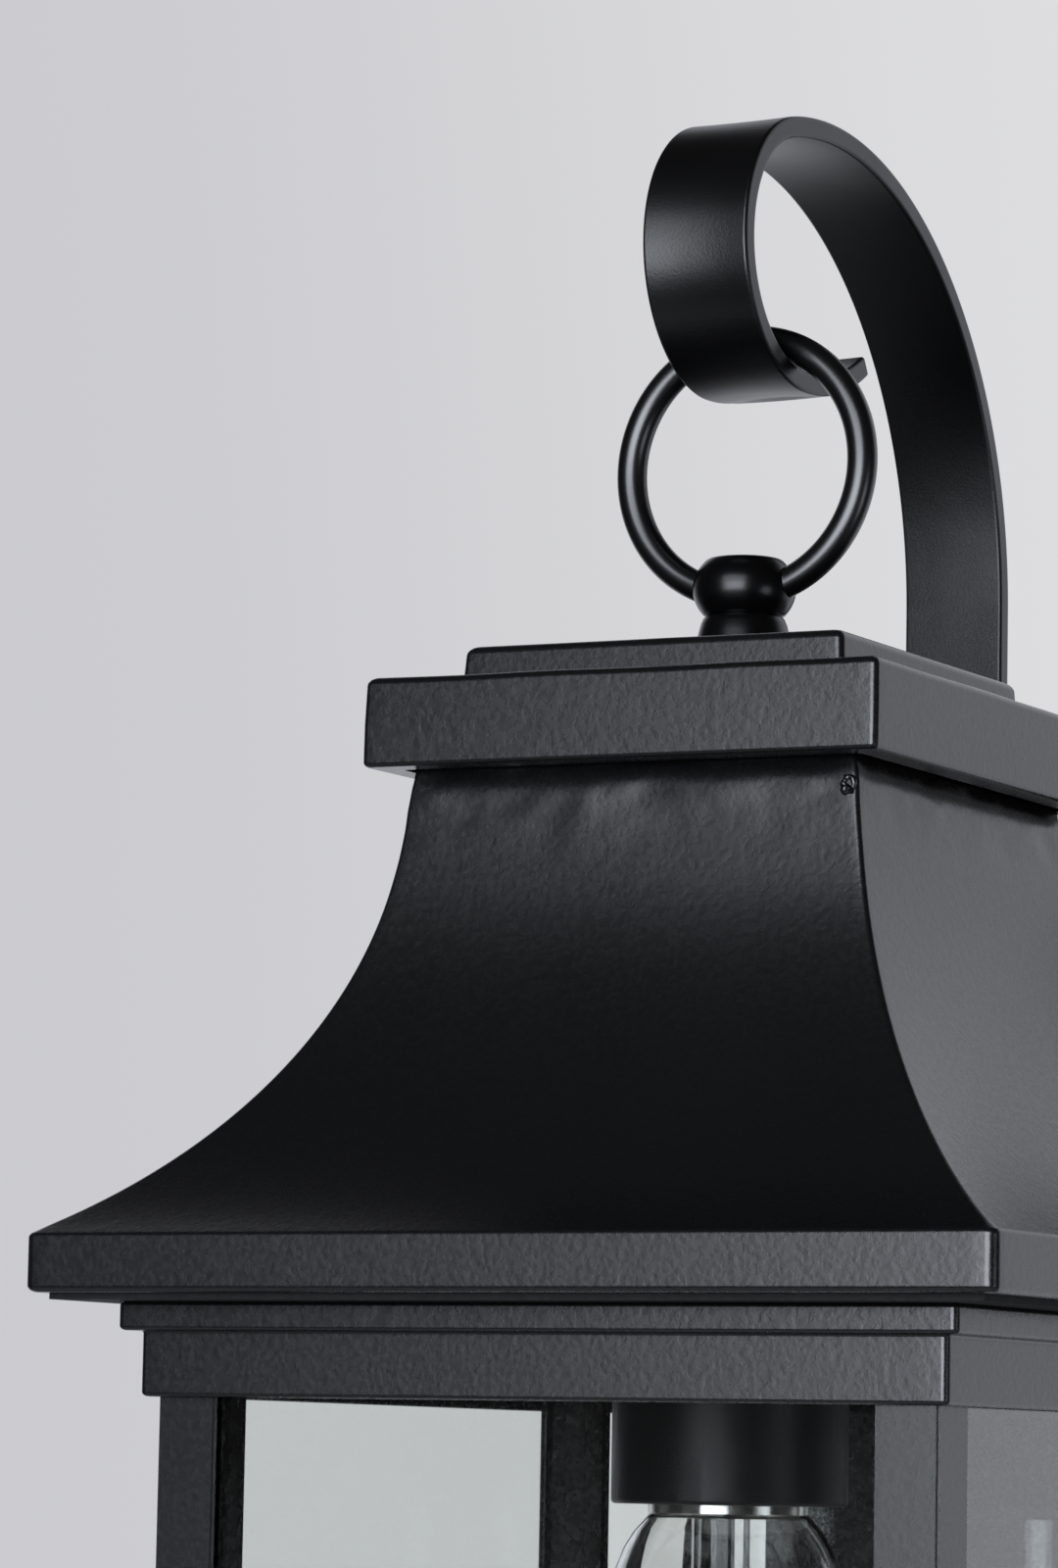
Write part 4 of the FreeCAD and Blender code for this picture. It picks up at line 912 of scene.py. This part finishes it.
class LANTERN_OT_studio(bpy.types.Operator):
    """Camera, pale floor and soft light"""

    bl_idname = "lantern.studio"
    bl_label = "Studio"

    def execute(self, context):
        studio = context.scene.lantern_studio
        scene = context.scene
        scene.view_settings.view_transform = "Standard"
        yaw, pitch, roll = studio.yaw, studio.pitch, studio.roll
        back = Vector((math.sin(yaw) * math.cos(pitch), -math.cos(yaw) * math.cos(pitch), math.sin(pitch)))
        level = Vector((math.cos(yaw), math.sin(yaw), 0.0))
        upright = back.cross(level)
        right = math.cos(roll) * level + math.sin(roll) * upright
        up = math.cos(roll) * upright - math.sin(roll) * level
        spot = back * studio.away - right * studio.aside + up * studio.above + Vector((0.0, AXIS_Y, EAVE_Z))
        data = bpy.data.cameras.new("photo_camera")
        data.sensor_fit = "AUTO"
        data.sensor_width = 36.0
        data.lens = studio.lens
        data.clip_start, data.clip_end = 0.05, 50.0
        camera = bpy.data.objects.new("photo_camera", data)
        camera.matrix_world = Matrix.Translation(spot) @ Matrix((right, up, back)).transposed().to_4x4()
        scene.collection.objects.link(camera)
        scene.camera = camera
        self.floor(scene, studio)
        self.world(scene, studio)
        self.lamp(scene, studio, "key_box", studio.key, spot=(0.19, -2.20, 0.09), size=(1.45, 0.85))
        self.lamp(scene, studio, "key_surround", studio.glow, spot=(0.095, -2.25, 0.36), size=(2.01, 1.9),
                  through_glass=False)
        self.lamp(scene, studio, "fill_box", studio.fill, spot=(1.42, -0.44, -0.23), size=(0.5, 0.5))
        return {"FINISHED"}

    def floor(self, scene, studio):
        """A pale floor far below, which glows a little to the eye and through glass."""
        half, level, shine = 2, -1.75, 0.75
        corners = [(-half, -half, level), (half, -half, level), (half, half, level), (-half, half, level)]
        mesh = bpy.data.meshes.new("floor")
        mesh.from_pydata(corners, [], [(0, 1, 2, 3)])
        tree = material_tree("studio_floor")
        clouds = tree.noise(scale=1.5)
        path = tree.add("ShaderNodeLightPath").outputs
        seen = tree.sums("MAXIMUM", path["Is Camera Ray"], path["Is Transmission Ray"])
        mesh.materials.append(tree.finish(
            Base_Color=tree.tone(clouds, shade(studio.floor, 0.98), studio.floor),
            Roughness=tree.ramp(clouds, (0.3, 0.7), (0.85, 0.95)),
            Emission_Color=studio.floor, Emission_Strength=tree.ramp(seen, (0.0, 1.0), (0.0, shine))))
        made = bpy.data.objects.new("floor", mesh)
        scene.collection.objects.link(made)

    def world(self, scene, studio):
        """Pale to the eye and through glass; metal mirrors a lit wall behind and a dim room in front."""
        ceiling_band, floor_band = (0.56, 0.78), (-0.9, -0.3)
        room_band, backdrop_band, room_skew = (0.38, 0.72), (-0.56, -0.36), -0.15
        tree = Tree(bpy.data.worlds.new("studio"), "Background")

        def blend(source, band, first, second):
            return tree.tone(tree.ramp(source, band, kind="SMOOTHSTEP"), first, second)

        split = tree.add("ShaderNodeSeparateXYZ", Vector=tree.place["Generated"])
        across, behind, upward = split.outputs
        wall = blend(upward, ceiling_band, studio.wall, studio.ceiling)
        wall = blend(upward, floor_band, studio.room, wall)
        aside = tree.sums("MULTIPLY_ADD", across, room_skew, behind)
        mirrored = blend(aside, room_band, studio.room, wall)
        path = tree.add("ShaderNodeLightPath").outputs
        straight = tree.sums("LESS_THAN", path["Glossy Depth"], 0.5)
        through = tree.sums("MULTIPLY", path["Is Transmission Ray"], straight)
        seen = tree.sums("MAXIMUM", path["Is Camera Ray"], through)
        # Painted light: the backdrop the camera sees runs from darker on the left to lighter on the right,
        # like light falling across a wall.
        pale = blend(across, backdrop_band, studio.backdrop, studio.backdrop_right)
        pale = tree.tone(path["Is Camera Ray"], studio.behind, pale)
        scene.world = tree.finish(Color=tree.tone(seen, mirrored, pale))

    def lamp(self, scene, studio, name, watts, spot, size, through_glass=True):
        """A soft box that faces the lantern and stays out of the camera's sight."""
        data = bpy.data.lights.new(name, "AREA")
        data.shape = "RECTANGLE"
        data.size, data.size_y = size
        data.energy = watts
        data.color = studio.lamp_tint
        made = bpy.data.objects.new(name, data)
        mid_roof = 0.05
        aim = Vector((0.0, AXIS_Y, EAVE_Z + mid_roof))
        facing = (aim - Vector(spot)).to_track_quat("-Z", "Y").to_matrix().to_4x4()
        made.matrix_world = Matrix.Translation(spot) @ facing
        made.visible_camera = False
        made.visible_transmission = through_glass
        scene.collection.objects.link(made)


class LANTERN_PT_sidebar(bpy.types.Panel):
    """Lists the lantern's pieces and finishes"""

    bl_label = "Lantern"
    bl_space_type = "VIEW_3D"
    bl_region_type = "UI"
    bl_category = "Lantern"

    def draw(self, context):
        for step in STEPS:
            self.layout.operator(step.bl_idname)
        scene = context.scene
        for group in (scene.lantern_sizes, scene.lantern_finish, scene.lantern_studio):
            column = self.layout.column()
            for name in group.__annotations__:
                column.prop(group, name)


GROUPS = (LanternSizes, LanternFinish, LanternStudio)
STEPS = (LANTERN_OT_finishes, LANTERN_OT_roof, LANTERN_OT_cap, LANTERN_OT_finial, LANTERN_OT_crook,
         LANTERN_OT_cage, LANTERN_OT_lamp, LANTERN_OT_studio)


def register():
    for kind in (*GROUPS, *STEPS, LANTERN_PT_sidebar):
        bpy.utils.register_class(kind)
    bpy.types.Scene.lantern_sizes = PointerProperty(type=LanternSizes)
    bpy.types.Scene.lantern_finish = PointerProperty(type=LanternFinish)
    bpy.types.Scene.lantern_studio = PointerProperty(type=LanternStudio)


def unregister():
    del bpy.types.Scene.lantern_studio
    del bpy.types.Scene.lantern_finish
    del bpy.types.Scene.lantern_sizes
    for kind in reversed((*GROUPS, *STEPS, LANTERN_PT_sidebar)):
        bpy.utils.unregister_class(kind)


def main():
    register()
    make_materials(bpy.context.scene.lantern_finish)
    bpy.ops.lantern.finishes()
    bpy.ops.lantern.roof()
    bpy.ops.lantern.cap()
    bpy.ops.lantern.finial()
    bpy.ops.lantern.crook()
    bpy.ops.lantern.cage()
    bpy.ops.lantern.lamp()
    bpy.ops.lantern.studio()


if __name__ == "__main__":
    main()
